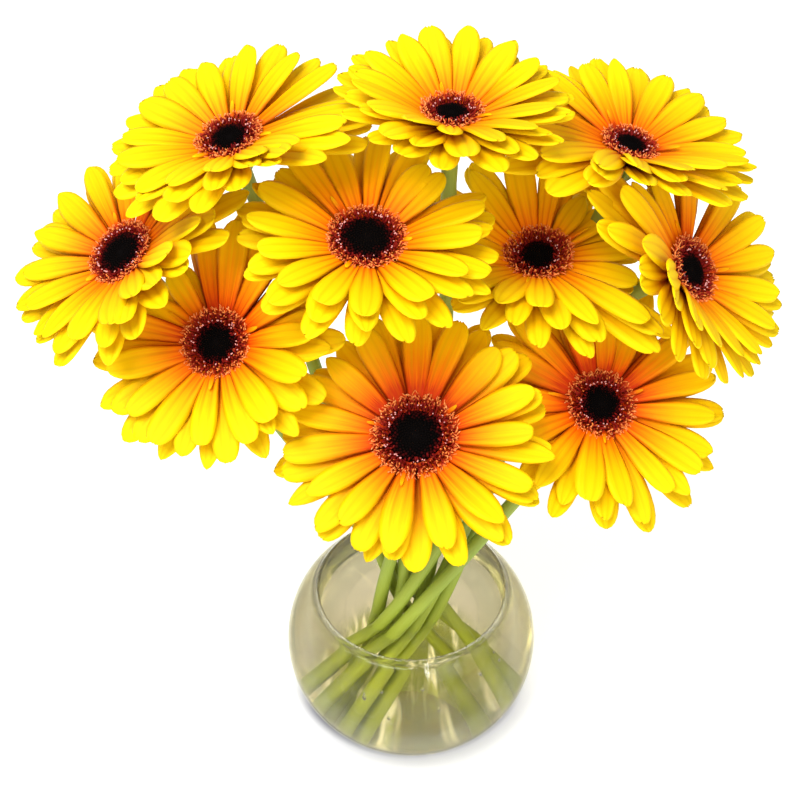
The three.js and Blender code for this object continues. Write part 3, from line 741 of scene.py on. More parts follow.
def make_petals(index, bloom, face, draw):
    root = bloom["root"]
    made = [make_hub(face, root)]
    for level, layer in enumerate(LAYERS):
        strap = level == len(LAYERS) - 1
        pitch = TURN / layer["count"]
        phase = pitch * (PHASE + PHASE_PER_LAYER * level) + draw.between(0, pitch)
        for i in range(layer["count"]):
            turn = phase + i * pitch + draw.around(UNEVEN_PITCH * pitch)
            kind = petal_kinds[3 if strap else int(draw.between(0, COMMON_KINDS))]
            width = layer["width"] * draw.between(*WIDTHS)
            rise = min(layer["rise"] + draw.around(UNEVEN_RISE) + steepness(bloom, turn),
                       STEEPEST + layer["z"])
            rise -= PRESSED_SHARE * press_at(index, turn)
            full = bloom["radius"] * layer["reach"] * draw.between(*LENGTHS) - root
            full *= 1 + PRESSED_REACH * press_at(index, turn)
            if strap:
                full *= draw.between(*STRAP_LENGTHS)
            droop = draw.between(*DROOPS)
            sweep = math.radians(draw.around(UNEVEN_SWEEP))
            line = spine(root, layer["z"], full, rise, droop)
            length = full * clear_length(index, line, turn, sweep, width)
            line = spine(root, layer["z"], length, rise, droop)
            petal = copy_of(kind, f"petal_{index}_{level}_{i}")
            bend_petal(petal, face, line, turn, sweep, width,
                       math.radians(ROLL + draw.around(UNEVEN_ROLL)),
                       math.radians(draw.around(UNEVEN_TWIST)), draw.between(*CURLS),
                       (draw.between(*RIPPLES), draw.between(0, TURN)))
            far = 0.5 + 0.5 * math.sin(turn)  # 0 nearest to the viewer, 1 at the far side
            # the petals of the far side are made warmer, as painted shade where the blooms above shade
            # them
            note(petal, tone=draw.between(0, 1),
                 warmth=bloom["warmth"] * (0.5 + 0.6 * far) + draw.around(0.08) + STRAP_WARMTH * strap)
            made.append(petal)
    return made


petals = for_every_bloom(make_petals, "petals", 7, 3)
remove(*petal_kinds)

# %% [markdown]
# ## The petals' finish
#
# From root to tip a petal goes from deep orange-red over orange and gold to lemon yellow, and the
# warm colour runs out along the furrows in fine streaks. The furrows are also darkened as painted
# shade, and so are the edges near the root, partly their own dark red base and partly painted shade
# where neighbouring petals meet. It could be painted as one picture, but a ramp from root to tip,
# moved out and in by noise that is stretched lengthwise, gives every petal its own streaks. The
# petal's UV map tells where a point is across it. Some blooms are warmer than others, partly in their
# own colour and partly as painted shade on the lower blooms, and on each the petals of the far side
# are warmer than the near ones, as painted shade from the blooms above them.

# %% Petal finish
PETAL_COLOURS = (
    (0.00, (0.56, 0.030, 0.001)),
    (0.09, (0.80, 0.105, 0.0)),
    (0.20, (0.90, 0.200, 0.0)),
    (0.34, (0.95, 0.32, 0.0)),
    (0.50, (0.97, 0.46, 0.0)),
    (0.68, (0.97, 0.58, 0.0)),
    (1.00, (0.96, 0.68, 0.002)),
)
PETAL_BACK = (0.80, 0.58, 0.02)
# painted shade between neighbouring petals near the root, over their own dark red base
PAINTED_SHADE_BETWEEN_PETALS, VEIN_YELLOW = (0.33, 0.020, 0.0), (1.0, 0.80, 0.02)
# furrow colours: the petal's own warm streaks, darkened as painted shade in the furrows
FURROW_TINT_AND_SHADE_NEAR, FURROW_TINT_AND_SHADE_FAR = (0.62, 0.070, 0.0), (0.80, 0.40, 0.0)


def petal_finish():
    made = Finish("petal yellow to orange")
    across, along = made.parts(made.node("TexCoord").outputs["UV"])[0], made.attribute("along")
    tone, warmth = made.attribute("tone"), made.attribute("warmth")
    streak = made.noise(made.vector(across * 7, along * 0.8, tone * 40), 1.6, 3, 0.6)
    vein = made.noise(made.vector(across * 44, along * 1.4, tone * 31), 1.0, 2, 0.6)
    aside = abs(across - 0.5)
    furrow = 1 - abs(aside - 1 / 6).ramp(0.0, 0.09)
    # part of the warmth is painted shade: more on the far petals and on the lower blooms
    reach = along + 0.42 * (streak - 0.5) + 0.16 * (vein - 0.5) - 0.42 * (warmth - 0.4)
    colour = made.colours(reach, PETAL_COLOURS)
    # the furrows: partly the petal's own orange-red streaks, partly painted shade in the crease
    deep = made.mix(along.ramp(0.2, 0.75), FURROW_TINT_AND_SHADE_NEAR, FURROW_TINT_AND_SHADE_FAR)
    colour = made.mix(furrow * (0.62 - 0.36 * along) * (0.5 + 1.0 * streak), colour, deep)
    # painted shade: the edges near the root darken where neighbouring petals meet, over their dark red
    # base
    edge = (aside + 0.05 * (streak - 0.5)).ramp(0.34, 0.50)
    edge = edge * (1 - (along - 0.25 * warmth).ramp(0.10, 0.62))
    colour = made.mix(edge * 0.8, colour, PAINTED_SHADE_BETWEEN_PETALS)
    colour = made.mix((vein - 0.35) * 0.22 * along, colour, VEIN_YELLOW)
    colour = made.mix(made.attribute("back") * 0.7, colour, PETAL_BACK)
    colour = made.dim(colour, 0.94 + 0.12 * (tone - 0.5))
    return made.shade(Base_Color=colour, Roughness=0.50 + 0.14 * vein, Specular_IOR_Level=0.07,
                      Normal=made.bump(vein * 0.5 + 0.4 * streak, 0.22, 0.0004))


dress(petals, petal_finish())

# %% [markdown]
# ## The fringe
#
# Between the petals and the eye stands a ring of small tubular florets: a dark red velvet of short
# upright ones, and round it finer ones whose orange ends curl outwards over the petals' roots. Just
# at the eye's border sit grains of pinkish pollen. One floret is a slim tube of five sides, drawn in
# at its foot and at its mouth, and 394 to 598 copies stand in seven rows round each eye.
#
# A hair system could fill such a ring too, but hairs are no mesh: here each floret is a real form.

# %% Floret and pollen models
FLORET_SIDES = 5
FLORET_RINGS = ((0.0, 0.55), (0.40, 0.85), (0.78, 1.0), (1.0, 0.45))  # place, share of width


def make_floret(name, rings):
    """A closed tube of unit length along Z, from rings of faces extruded upwards."""
    floret = disc(FLORET_SIDES)
    grow_rings(rings)
    done()
    bpy.ops.object.shade_smooth()
    note(floret, along=corners_of(floret)[:, 2])
    floret.name = name
    print(name, len(floret.data.polygons), "faces")
    return floret


floret_model = make_floret("floret", FLORET_RINGS)
pollen_model = make_floret("pollen", ((0.0, 0.6), (0.5, 1.0), (1.0, 0.5)))

# %% Florets round an eye
TOP_PETAL_FACE, EYE_TOP = PETAL_HALF_THICKNESS + GAP, 2.9
FRINGE_LIE, FRINGE_FOOT, FRINGE_CURLS = 14, 0.3, (-120, 80)
POLLEN_PER_MM, POLLEN_REACH, POLLEN_IN = 0.62, 0.32, 0.03
POLLEN_LENGTHS, POLLEN_SLOPES, POLLEN_WIDTHS = (0.5, 0.9), (30, 80), (0.34, 0.5)
FLORET_LENGTHS, FLORET_WIDTHS = (0.75, 1.2), (0.7, 1.2)  # shares of what the row gives
FRINGE_ROWS = (  # how far out each starts, how many stand per mm, length, slope, width in mm
    (-0.06, 0.95, 0.40, 84, 0.48),
    (0.06, 0.95, 0.42, 76, 0.48),
    (0.18, 0.95, 0.44, 66, 0.48),
    (0.30, 0.95, 0.42, 56, 0.44),
    (0.42, 1.05, 0.38, 46, 0.38),
    (0.54, 1.05, 0.36, 38, 0.34),
    (0.66, 1.00, 0.32, 28, 0.32),
)


def stand_tube(tube, face, turn, out, height, length, slope, curl, width, aside):
    """Stands a tube model on a bloom: slope is its angle over the bloom's face, in degrees."""
    at = corners_of(tube)
    share = at[:, 2]
    angle = np.radians(slope + curl * share)
    middle = np.radians(slope + curl * share / 2)
    run, rise = share * length * np.cos(middle), share * length * np.sin(middle)
    thick = at[:, 0] * width / 2
    side = at[:, 1] * width / 2 + aside * share
    run = out + run - thick * np.sin(angle)
    rise = height + rise + thick * np.cos(angle)
    move_corners(tube, face.ray(turn, run, side, rise) * MM)


def make_fringe(index, bloom, face, draw):
    eye, span = bloom["eye"], bloom["fringe"] - bloom["eye"]
    made = []
    for row, (start, dense, length, slope, width) in enumerate(FRINGE_ROWS):
        out = eye + start * span
        count = int(dense * TURN * out)
        for i in range(count):
            turn = (i + 0.5 * (row % 2) + draw.around(0.35)) / count * TURN
            lie = FRINGE_LIE + steepness(bloom, turn)
            height = TOP_PETAL_FACE + max(0.0, start) * span * math.tan(math.radians(lie)) * 0.8
            tube = copy_of(floret_model, f"floret_{index}_{row}_{i}")
            stand_tube(tube, face, turn, out + draw.around(0.55), height - FRINGE_FOOT,
                       length * span * draw.between(*FLORET_LENGTHS),
                       slope + lie * (1 - slope / 90) + draw.around(15),
                       draw.between(*FRINGE_CURLS), width * draw.between(*FLORET_WIDTHS),
                       draw.around(1.0 + 0.3 * row))
            note(tube, row=row / (len(FRINGE_ROWS) - 1), tone=draw.between(0, 1), pollen=0)
            made.append(tube)
    for i in range(int(POLLEN_PER_MM * TURN * eye)):
        turn = draw.between(0, TURN)
        tube = copy_of(pollen_model, f"pollen_{index}_{i}")
        out = eye + (draw.between(0, 1) ** 3 * POLLEN_REACH - POLLEN_IN) * span
        stand_tube(tube, face, turn, out, EYE_TOP + draw.between(0, 0.5),
                   draw.between(*POLLEN_LENGTHS), draw.between(*POLLEN_SLOPES), 0,
                   draw.between(*POLLEN_WIDTHS), draw.around(0.3))
        note(tube, row=0.0, tone=draw.between(0, 1), pollen=1)
        made.append(tube)
    return made


fringes = for_every_bloom(make_fringe, "fringe", 13, 5)

# %% [markdown]
# The inner florets are dark maroon, the outer ones red with orange mouths. Each corner knows how far
# along its floret it is and in which row that stands, so no map is needed.


# %% Fringe finish
FLORET_INNER, FLORET_OUTER = (0.15, 0.003, 0.003), (0.46, 0.028, 0.008)
FLORET_END, OUTER_END, POLLEN_PINK = (0.88, 0.25, 0.050), (0.96, 0.50, 0.19), (0.78, 0.36, 0.34)


def fringe_finish():
    made = Finish("fringe maroon to orange")
    along, row, tone = made.attribute("along"), made.attribute("row"), made.attribute("tone")
    grain = made.noise(made.place(), 900, 2, 0.6)
    body = made.mix(row + 0.3 * (tone - 0.5), FLORET_INNER, FLORET_OUTER)
    ends = (along + 0.5 * (tone - 0.5) + 0.9 * (row - 0.6)).ramp(0.62, 1.05)
    colour = made.mix(ends * 0.9, body, FLORET_END)
    palest = (along - 0.7).ramp(0.0, 0.3) * (row - 0.45).ramp(0.0, 0.5) * tone
    colour = made.mix(palest, colour, OUTER_END)
    colour = made.mix(made.attribute("pollen"), colour, POLLEN_PINK)
    return made.shade(Base_Color=made.dim(colour, 0.85 + 0.3 * grain),
                      Roughness=0.60 + 0.2 * grain, Specular_IOR_Level=0.12,
                      Normal=made.bump(grain, 0.3, 0.0002))


dress(fringes, fringe_finish())
remove(floret_model)

# %% [markdown]
# ## The eye
#
# The middle of the bloom is a low, nearly black dome of unopened florets, packed in the spirals that
# seed heads grow in: each one turns on by the golden angle, and its distance grows with the root of
# its number. A dome carries them, and small buds of five sides stand all over it.

# %% Eye domes with their buds
EYE_BUDS, EYE_SIDES = 240, 20
EYE_RINGS = (1.0, 0.86, 0.66, 0.42, 0.18)  # each ring of the dome as a share of the eye's radius
BUD_SIZE, BUD_REACH, BUD_FOOT = 0.085, 0.95, 0.35
GOLDEN_TURN = TURN * (3 - math.sqrt(5)) / 2


def dome_height(share):
    return EYE_TOP - 0.2 - 1.5 * share ** 4 - 0.5 * math.exp(-(share / 0.3) ** 2)


def make_eye(index, bloom, face, draw):
    radius = bloom["eye"] - GAP / 2
    dome = disc(EYE_SIDES, radius, TOP_PETAL_FACE)
    grow_rings([(TOP_PETAL_FACE, 1.0)] + [(dome_height(share), share) for share in EYE_RINGS])
    done()
    bpy.ops.object.shade_smooth()
    move_corners(dome, face.place(*corners_of(dome).T) * MM)
    note(dome, along=0, rim=0.5, tone=0.3)
    made = [dome]
    for i in range(EYE_BUDS):
        share = math.sqrt((i + 0.5) / EYE_BUDS)
        bud = copy_of(pollen_model, f"bud_{index}_{i}")
        size = radius * BUD_SIZE * (0.75 + 0.4 * share)
        stand_tube(bud, face, i * GOLDEN_TURN, radius * share * BUD_REACH,
                   dome_height(share * BUD_REACH) - BUD_FOOT,
                   0.55 + 0.35 * share * draw.between(0.7, 1.2), 88 - 22 * share ** 2, -8, size,
                   draw.around(0.15))
        note(bud, rim=share, tone=draw.between(0, 1))
        made.append(bud)
    return made


eyes = for_every_bloom(make_eye, "eye", 17, 7)
remove(pollen_model)

# %% [markdown]
# The eye gives back hardly any light. The buds differ a little, and those at the rim, which open
# first, have a breath of dark red.

# %% Eye finish
EYE_BLACK, EYE_RIM = (0.0010, 0.0003, 0.0003), (0.050, 0.0012, 0.0015)


def eye_finish():
    made = Finish("eye nearly black")
    along, rim, tone = made.attribute("along"), made.attribute("rim"), made.attribute("tone")
    grain = made.noise(made.place(), 1400, 2, 0.6)
    warm = (rim * 0.9 + 0.3 * (tone - 0.5) + 0.3 * (along - 0.5)).ramp(0.72, 1.15)
    colour = made.mix(warm, EYE_BLACK, EYE_RIM)
    return made.shade(Base_Color=colour, Roughness=0.7 + 0.2 * grain, Specular_IOR_Level=0.05,
                      Normal=made.bump(grain, 0.25, 0.0002))


dress(eyes, eye_finish())

# %% [markdown]
# ## Stems and bract cups
#
# A gerbera's stem is bare, softly ribbed and a little furry. Under the bloom it widens into a cup
# clothed in rows of narrow pointed bracts. The stem is one disc extruded upwards in steps, every
# second corner drawn in for the ribs, and then laid along its curve. The cup goes on from it in a few
# wider steps. One bract is modelled from a small grid and copied round the cup.

# %% Stem and bract models
STEM_SIDES, RIB_DEPTH, SLANT = 16, 0.955, 0.28
STEM_STEPS = LOWER_STEPS + UPPER_STEPS
CUP_STEPS = (  # share of the way down from the bloom to the neck, share of the hub's radius
    (1.0, 0.42), (0.93, 0.46), (0.85, 0.54), (0.76, 0.67), (0.64, 0.80), (0.48, 0.90),
    (0.34, 0.93), (0.24, 0.88))
BRACT_ROWS = ((14, 15.0, 9.0), (16, 12.2, 9.6), (18, 9.0, 9.4))  # count, below, length
BRACT_FOLD, BRACT_WIDTHS = 0.12, (0.8, 1.0, 0.86, 0.52, 0.06)


def make_stem_model():
    """A rod of unit radius; its corners' heights are the number of their step."""
    rod = disc(STEM_SIDES)
    for _ in range(STEM_STEPS + len(CUP_STEPS) - 1):
        grow(0, 0, 1)
    done()
    bpy.ops.object.shade_smooth()
    rod.name = "rod"
    return rod


def make_bract_model():
    """A narrow pointed leaf, 1 long and 1 wide, folded along its middle."""
    bract = sheet(2, 4)
    edit(bract)
    pick(bract, lambda at: abs(at.x) < 0.1)
    shift(0, 0, BRACT_FOLD)
    for row, width in enumerate(BRACT_WIDTHS):
        pick(bract, lambda at: abs(at.y - row / 4) < 0.05)
        resize(width, 1, 1, center_override=(0, row / 4, 0))
    done()
    finish_modifier(bract, "SOLIDIFY", thickness=0.07, offset=-1)
    bpy.ops.object.shade_smooth()
    bract.name = "bract"
    return bract


stem_model, bract_model = make_stem_model(), make_bract_model()
print("stem faces", len(stem_model.data.polygons), "bract faces", len(bract_model.data.polygons))


# %% Stems along their lines
def stem_frames(line, last):
    """A side direction for each point of a line, carried along without twist."""
    directions = np.gradient(line, axis=0)
    directions /= np.linalg.norm(directions, axis=1)[:, None]
    directions[-1] = last
    side = np.array((1.0, 0, 0))
    sides = []
    for direction in directions:
        side = unit(side - direction * (side @ direction))
        sides.append(side)
    sides = np.array(sides)
    return directions, sides, np.cross(directions, sides)


def make_stem(index, bloom, face, draw):
    root, line = bloom["root"], stem_lines[index]
    last = len(line) - 1
    directions, sides, others = stem_frames(line, face.out)
    cup = np.array([face.place(0, 0, -NECK_BELOW * share) for share, _ in CUP_STEPS[1:]])
    centres = np.concatenate((line, cup))
    rises = np.arange(len(line)) / last
    swell = STEM_RADIUS * (1.02 - 0.10 * np.sin(rises * math.pi) + 0.02 * np.sin(rises * 19 + index))
    swell[-3:] = (0.96 * STEM_RADIUS, 1.04 * STEM_RADIUS, root * CUP_STEPS[0][1])
    radii = np.concatenate((swell, [root * width for _, width in CUP_STEPS[1:]]))
    stem = copy_of(stem_model, f"stem_{index}")
    at = corners_of(stem)
    step = np.rint(at[:, 2]).astype(int)
    around = np.arctan2(at[:, 1], at[:, 0])
    groove = (np.rint(around / TURN * STEM_SIDES).astype(int) % 2 == 1) & (step <= last)
    radius = radii[step] * np.where(groove, RIB_DEPTH, 1.0)
    held = np.minimum(step, last)
    points = (centres[step] + sides[held] * (radius * np.cos(around))[:, None]
              + others[held] * (radius * np.sin(around))[:, None])
    # the foot is cut on a slant
    slant = (step == 0)[:, None] * (SLANT * radius * np.cos(around + index))[:, None]
    move_corners(stem, (points + slant * directions[0]) * MM)
    note(stem, rise=step / (len(centres) - 1), round=around, cut=step == 0, leafy=step > last)
    made = [stem]
    for row, (count, below, length) in enumerate(BRACT_ROWS):
        for i in range(count):
            turn = (i + 0.5 * row + draw.around(0.15)) / count * TURN
            bract = copy_of(bract_model, f"bract_{index}_{row}_{i}")
            at = corners_of(bract)
            down = below - at[:, 1] * length * draw.between(0.9, 1.1) * 0.93
            profile = np.interp(down / NECK_BELOW, *np.array(CUP_STEPS[::-1]).T) * root
            away = profile + 0.35 + at[:, 2] * 2.6 + 0.8 * at[:, 1] ** 2
            move_corners(bract, face.ray(turn, away, at[:, 0] * 3.6 * root / 10, -down) * MM)
            note(bract, rise=1.0, round=turn, cut=0, leafy=1 + at[:, 1])
            made.append(bract)
    return made


stems = for_every_bloom(make_stem, "stem", 19, 11)
remove(stem_model, bract_model)


# %% Stem finish
# The stems are a lighter green low in the water and darker higher up, under the blooms, as painted
# shade.
LOW_STEM = (0.27, 0.33, 0.004), (0.43, 0.46, 0.016)  # the darker and the lighter green
HIGH_STEM_PAINTED_SHADE = (0.20, 0.29, 0.025), (0.31, 0.40, 0.05)
FIBRE, BRACT_TIP, CUT_END = (0.62, 0.66, 0.16), (0.34, 0.42, 0.07), (0.72, 0.74, 0.46)


def stem_finish():
    made = Finish("stem fresh green")
    rise, round_, leafy = made.attribute("rise"), made.attribute("round"), made.attribute("leafy")
    fibre = made.noise(made.vector(round_ * 5, rise * 9, 0.0), 2.2, 3, 0.6)
    patch = made.noise(made.place(), 34, 3, 0.55)
    # the stems darken towards the blooms, as painted shade
    colour = made.mix(rise.ramp(0.12, 0.5), made.mix(patch, *LOW_STEM), made.mix(patch, *HIGH_STEM_PAINTED_SHADE))
    colour = made.mix((fibre - 0.3) * 0.4, colour, FIBRE)
    colour = made.mix((leafy - 1).ramp(0.2, 1.0) * 0.5, colour, BRACT_TIP)
    colour = made.mix(made.attribute("cut").ramp(0.4, 0.9), colour, CUT_END)
    return made.shade(Base_Color=colour, Roughness=0.46 + 0.16 * patch, Specular_IOR_Level=0.35,
                      Normal=made.bump(fibre, 0.3, 0.0004))


dress(stems, stem_finish())

# %% [markdown]
# ## The glass bowl
#
# The bowl is blown: a ball pressed a little flat, with a thick floor and a lip melted round in the
# flame. Its outline is drawn once as a chain of points, each extruded from the one before, and spun
# round the axis. Glass must be a closed shell with a real thickness, because light bends at both its
# faces.

# %% Turned pieces
SPIN_STEPS = 96


def turned(name, outline):
    """Spins an outline of (radius, height) in mm that starts and ends on the axis."""
    bpy.ops.mesh.primitive_plane_add(size=1)
    piece = bpy.context.object
    edit(piece)
    pick(piece, lambda at: at.x < 0 or at.y < 0)
    bpy.ops.mesh.delete(type="VERT")
    pick(piece, lambda at: True)
    shift(outline[0][0] * MM - 0.5, -0.5, outline[0][1] * MM)
    for (radius, height), (next_radius, next_height) in zip(outline, outline[1:]):
        grow((next_radius - radius) * MM, 0, (next_height - height) * MM)
    bpy.ops.mesh.select_all(action="SELECT")
    bpy.ops.mesh.spin(steps=SPIN_STEPS, angle=TURN, center=(0, 0, 0), axis=(0, 0, 1))
    bpy.ops.mesh.select_all(action="SELECT")
    bpy.ops.mesh.remove_doubles(threshold=2e-5)
    bpy.ops.mesh.normals_make_consistent(inside=False)
    done()
    bpy.ops.object.shade_smooth()
    piece.name = piece.data.name = name
    shell = bmesh.new()
    shell.from_mesh(piece.data)
    open_edges = sum(edge.is_boundary for edge in shell.edges)
    print(name, len(shell.faces), "faces,", open_edges, "open edges,",
          f"{shell.calc_volume(signed=True) * 1e6:.1f} ml")
    shell.free()
    return piece


# %% Glass
LIP_WALL, THINNING, LIP_STEPS = 1.2, 24, 8
LIP_ROUND = LIP_WALL / 2
OUTER_FOOT = [(0, 1.2), (8, 1.1), (14, 0.6), (17.5, 0.05), (18.6, 0.0), (19.6, 0.25)]
INNER_FLOOR = [(23.0, 6.6), (17, 5.4), (9, 5.0), (0, 5.0)]


def wall_at(z):
    """The wall grows thinner towards the lip, where the glass was drawn out most."""
    share = min(1.0, max(0.0, (RIM_Z - z) / THINNING))
    return LIP_WALL + (WALL - LIP_WALL) * share * share * (3 - 2 * share)


def ball_outline(bottom, top, depth, steps):
    """The ball's outline between two heights; depth goes from 0 outside to 1 inside the wall."""
    first, last = (math.asin((z - BALL_CENTRE_Z) / BALL_HALF_HEIGHT) for z in (bottom, top))
    heights = [BALL_CENTRE_Z + BALL_HALF_HEIGHT * math.sin(first + (last - first) * i / steps)
               for i in range(steps + 1)]
    return [(ball_radius(z, depth * wall_at(z)), z) for z in heights]


def lip_outline():
    """The rounded lip, from the outer wall over the top to the inner wall."""
    outer, inner = ball_radius(RIM_Z - LIP_ROUND, 0), ball_radius(RIM_Z - LIP_ROUND, LIP_WALL)
    middle, half = (outer + inner) / 2, (outer - inner) / 2
    turns = [math.pi * i / LIP_STEPS for i in range(1, LIP_STEPS)]
    return [(middle + half * math.cos(t), RIM_Z - LIP_ROUND * (1 - math.sin(t))) for t in turns]


glass_outline = (OUTER_FOOT + ball_outline(0.9, RIM_Z - LIP_ROUND, 0, 46) + lip_outline()
                 + ball_outline(RIM_Z - LIP_ROUND, 9.5, 1, 42) + INNER_FLOOR)
glass = turned("bowl_glass", glass_outline)
declare(glass, "glass", "vase")

# %% [markdown]
# ## The water
#
# The bowl is nearly full. Where water meets glass there is no air, so the water's body is made a
# little larger than the space inside the glass and its skin lies within the wall: the light then
# bends once into the glass and once into the water, as it does in life. At the wall the surface
# climbs a little, which shows as a bright line under the lip.

# %% Water
WATER_DEPTH_IN_WALL = 0.35
MENISCUS = 0.9
wet_top = WATER_TOP_Z + MENISCUS
wet_edge = ball_radius(wet_top, WATER_DEPTH_IN_WALL * wall_at(wet_top))
water_outline = (
    [(0, FLOOR_Z - 0.7), (16, FLOOR_Z - 0.6), (22.4, 5.4)]
    + ball_outline(8.6, wet_top, WATER_DEPTH_IN_WALL, 40)
    + [(wet_edge - 0.9, WATER_TOP_Z + 0.7), (wet_edge - 1.5, WATER_TOP_Z + 0.3),
       (wet_edge - 2.6, WATER_TOP_Z + 0.08), (wet_edge - 5, WATER_TOP_Z), (0, WATER_TOP_Z)])
water = turned("bowl_water", water_outline)
declare(water, "water", "water")

# %% [markdown]
# Small bubbles of air cling to the inside of the glass on the viewer's side. One bubble is a ball of
# few faces, pressed flat on the side that holds on, and each copy is stretched upwards by its own
# amount.

# %% Bubbles
BUBBLES, BUBBLE_SEED, BUBBLE_BACK = 26, 271, 0.35
BUBBLE_TURNS, BUBBLE_HEIGHTS, BUBBLE_TALL = (195, 345), (12, 78), (1.0, 2.1)


def make_bubbles():
    bpy.ops.mesh.primitive_ico_sphere_add(subdivisions=2, radius=1)
    model = bpy.context.object
    edit(model)
    pick(model, lambda at: at.x > 0.1)
    resize(BUBBLE_BACK, 1, 1, center_override=(0, 0, 0))
    done()
    bpy.ops.object.shade_smooth()
    (x, y, z), draw, made = corners_of(model).T, Draw(BUBBLE_SEED), []
    for i in range(BUBBLES):
        turn, height = math.radians(draw.between(*BUBBLE_TURNS)), draw.between(*BUBBLE_HEIGHTS)
        size, tall = 0.45 + 0.7 * draw.between(0, 1) ** 2, draw.between(*BUBBLE_TALL)
        out = ball_radius(height, wall_at(height)) - 0.45 * size - 0.25 + x * size
        points = np.stack((out * math.cos(turn) - y * size * math.sin(turn),
                           out * math.sin(turn) + y * size * math.cos(turn),
                           height + z * size * tall), -1)
        made.append(copy_of(model, f"bubble_{i}"))
        move_corners(made[-1], points * MM)
    remove(model)
    return join(made, "bowl_bubbles")


bubbles = make_bubbles()
declare(bubbles, "water")
print("bubbles:", BUBBLES, "with", len(bubbles.data.polygons), "faces")

# %% [markdown]
# Glass and water are clear, so their look is in how they bend light and what they hold back. Glass
# that bends all light would be the plain way, but round water it gave a broad black rim. So the glass
# is a mix: little bending glass in the wet wall, more of it at the lip, the edges and the floor, and
# for the rest a skin that lets light straight through and takes more of it where the glass is seen at
# a slant. The pale streaks in the thick floor are part of it: they are painted light that glows, over
# a green tint that is a painted reflection of the stems.
#
# The stems have given the water a faint straw colour, which grows with the depth that the light
# crosses, so it is set as an absorption inside the body and not as a colour of its surface.


# %% Glass and water finishes
# How much of each part bends the light like thick glass; the rest lets it straight through.
WET_SHARE, LIP_SHARE, FLOOR_SHARE, EDGE_SHARE = 0.12, 0.45, 0.80, 0.75
SLANTING_TINT = (0.81, 0.795, 0.70)  # light that goes through at a slant crosses more glass
# The floor's green tint is a painted reflection of the stems, and its cream streaks are painted light.
WALL_TINT, PAINTED_STEM_REFLECTION_GREEN, PAINTED_LIGHT_CREAM = (0.985, 0.985, 0.975), (0.36, 0.44, 0.05), (0.98, 0.94, 0.72)
PAINTED_STREAK_GLOW = 0.5  # painted light: pale streaks glow in the thick floor, as if the bowl gathered light there
LIP_HEIGHTS, FLOOR_HEIGHTS = (0.081, 0.0845), (0.005, 0.014)
CLEAR, WATER_STRAW, WATER_DENSITY = (0.99, 0.99, 0.985, 1), (0.82, 0.76, 0.42, 1), 12.0
WHITE = (1.0, 1.0, 1.0, 1)


def glass_finish():
    made = Finish("clear glass")
    ripple = made.noise(made.place(), 22, 2, 0.5)
    x, y, height = made.parts(made.place())
    lip, floor = height.ramp(*LIP_HEIGHTS), 1 - height.ramp(*FLOOR_HEIGHTS)
    facing = made.value("LayerWeight", "Facing", None, {"Blend": 0.5})
    share = (WET_SHARE + (LIP_SHARE - WET_SHARE) * lip + (FLOOR_SHARE - WET_SHARE) * floor
             + (EDGE_SHARE - WET_SHARE) * facing.ramp(0.80, 0.97))
    # painted light: glowing cream streaks in the thick floor, over a painted green reflection of the
    # stems
    streak = made.noise(made.vector(x * 150, y * 40, 0.0), 1.0, 2, 0.6).ramp(0.52, 0.64)
    solid = made.skin(
        Base_Color=made.mix(floor, WALL_TINT, made.mix(streak, PAINTED_STEM_REFLECTION_GREEN, PAINTED_LIGHT_CREAM)),
        Roughness=0.0, IOR=1.5, Transmission_Weight=1.0,
        Emission_Color=made.mix(streak * floor, (0, 0, 0), PAINTED_LIGHT_CREAM),
        Emission_Strength=PAINTED_STREAK_GLOW, Normal=made.bump(ripple, 0.12, 0.002))
    clear, slanting = (made.node("BsdfTransparent", None, {"Color": tint}).outputs["BSDF"]
                       for tint in (CLEAR, (*SLANTING_TINT, 1)))
    thin = made.node("MixShader", None, {0: facing.ramp(0.25, 0.72), 1: clear, 2: slanting})
    glass_skin = made.node("MixShader", None, {0: share, 1: thin.outputs[0], 2: solid})
    return made.end(Surface=glass_skin.outputs[0])


def water_finish():
    made = Finish("water straw coloured")
    ripple = made.noise(made.place(), 30, 2, 0.5)
    surface = made.skin(Base_Color=WHITE, Roughness=0.0, IOR=1.33, Transmission_Weight=1.0,
                        Specular_IOR_Level=0.3, Normal=made.bump(ripple, 0.10, 0.002))
    depth = made.node("VolumeAbsorption", None, {"Color": WATER_STRAW, "Density": WATER_DENSITY})
    return made.end(Surface=surface, Volume=depth.outputs["Volume"])


def bubble_finish():
    made = Finish("air in water")
    ripple = made.noise(made.place(), 400, 1, 0.5)
    return made.shade(Base_Color=WHITE, Roughness=0.0, IOR=0.75, Transmission_Weight=1.0,
                      Normal=made.bump(ripple, 0.05, 0.0002))


dress([glass], glass_finish())
dress([water], water_finish())
dress([bubbles], bubble_finish())

# %% [markdown]
# ## Table and light
#
# The photograph shows the bunch on pure white. A very wide white table that glows a little gives
# that. Under a full bowl the light gathers into a pale patch, and a dark contact shadow lines its
# front. Real gathered light would need far more samples than a render has, so both are painted on the
# table, a painted pool of light and a painted shadow, as rings in the colour that the table glows
# with, round one point. Behind the bowl the painted shadow fades out.

# %% Table
CONTACT_PLACE, CONTACT_LENGTH = (-0.001, 0.026, 0), 0.1
PAINTED_CONTACT_SHADOW_AND_LIGHT = (  # distance from the contact's middle as a share of its length, and the painted shadow and light there
    (0.00, (0.82, 0.75, 0.69)),
    (0.32, (0.80, 0.73, 0.64)),
    (0.43, (0.38, 0.37, 0.20)),
    (0.56, (0.03, 0.03, 0.03)),
    (0.59, (0.10, 0.10, 0.14)),
    (0.63, (0.66, 0.66, 0.69)),
    (0.72, (1.00, 1.00, 0.99)),
)
CONTACT_FRONT = (-0.014, 0.028)  # from here to there, front to back, the painted contact shadow fades out
TABLE_WHITE, UNTOUCHED, TABLE_GLOW = (0.62, 0.62, 0.61), (1.0, 1.0, 0.96), 0.68

bpy.ops.mesh.primitive_plane_add(size=14, location=(0, 0, 0))
table = bpy.context.object
table.name = "table"
settle(table)


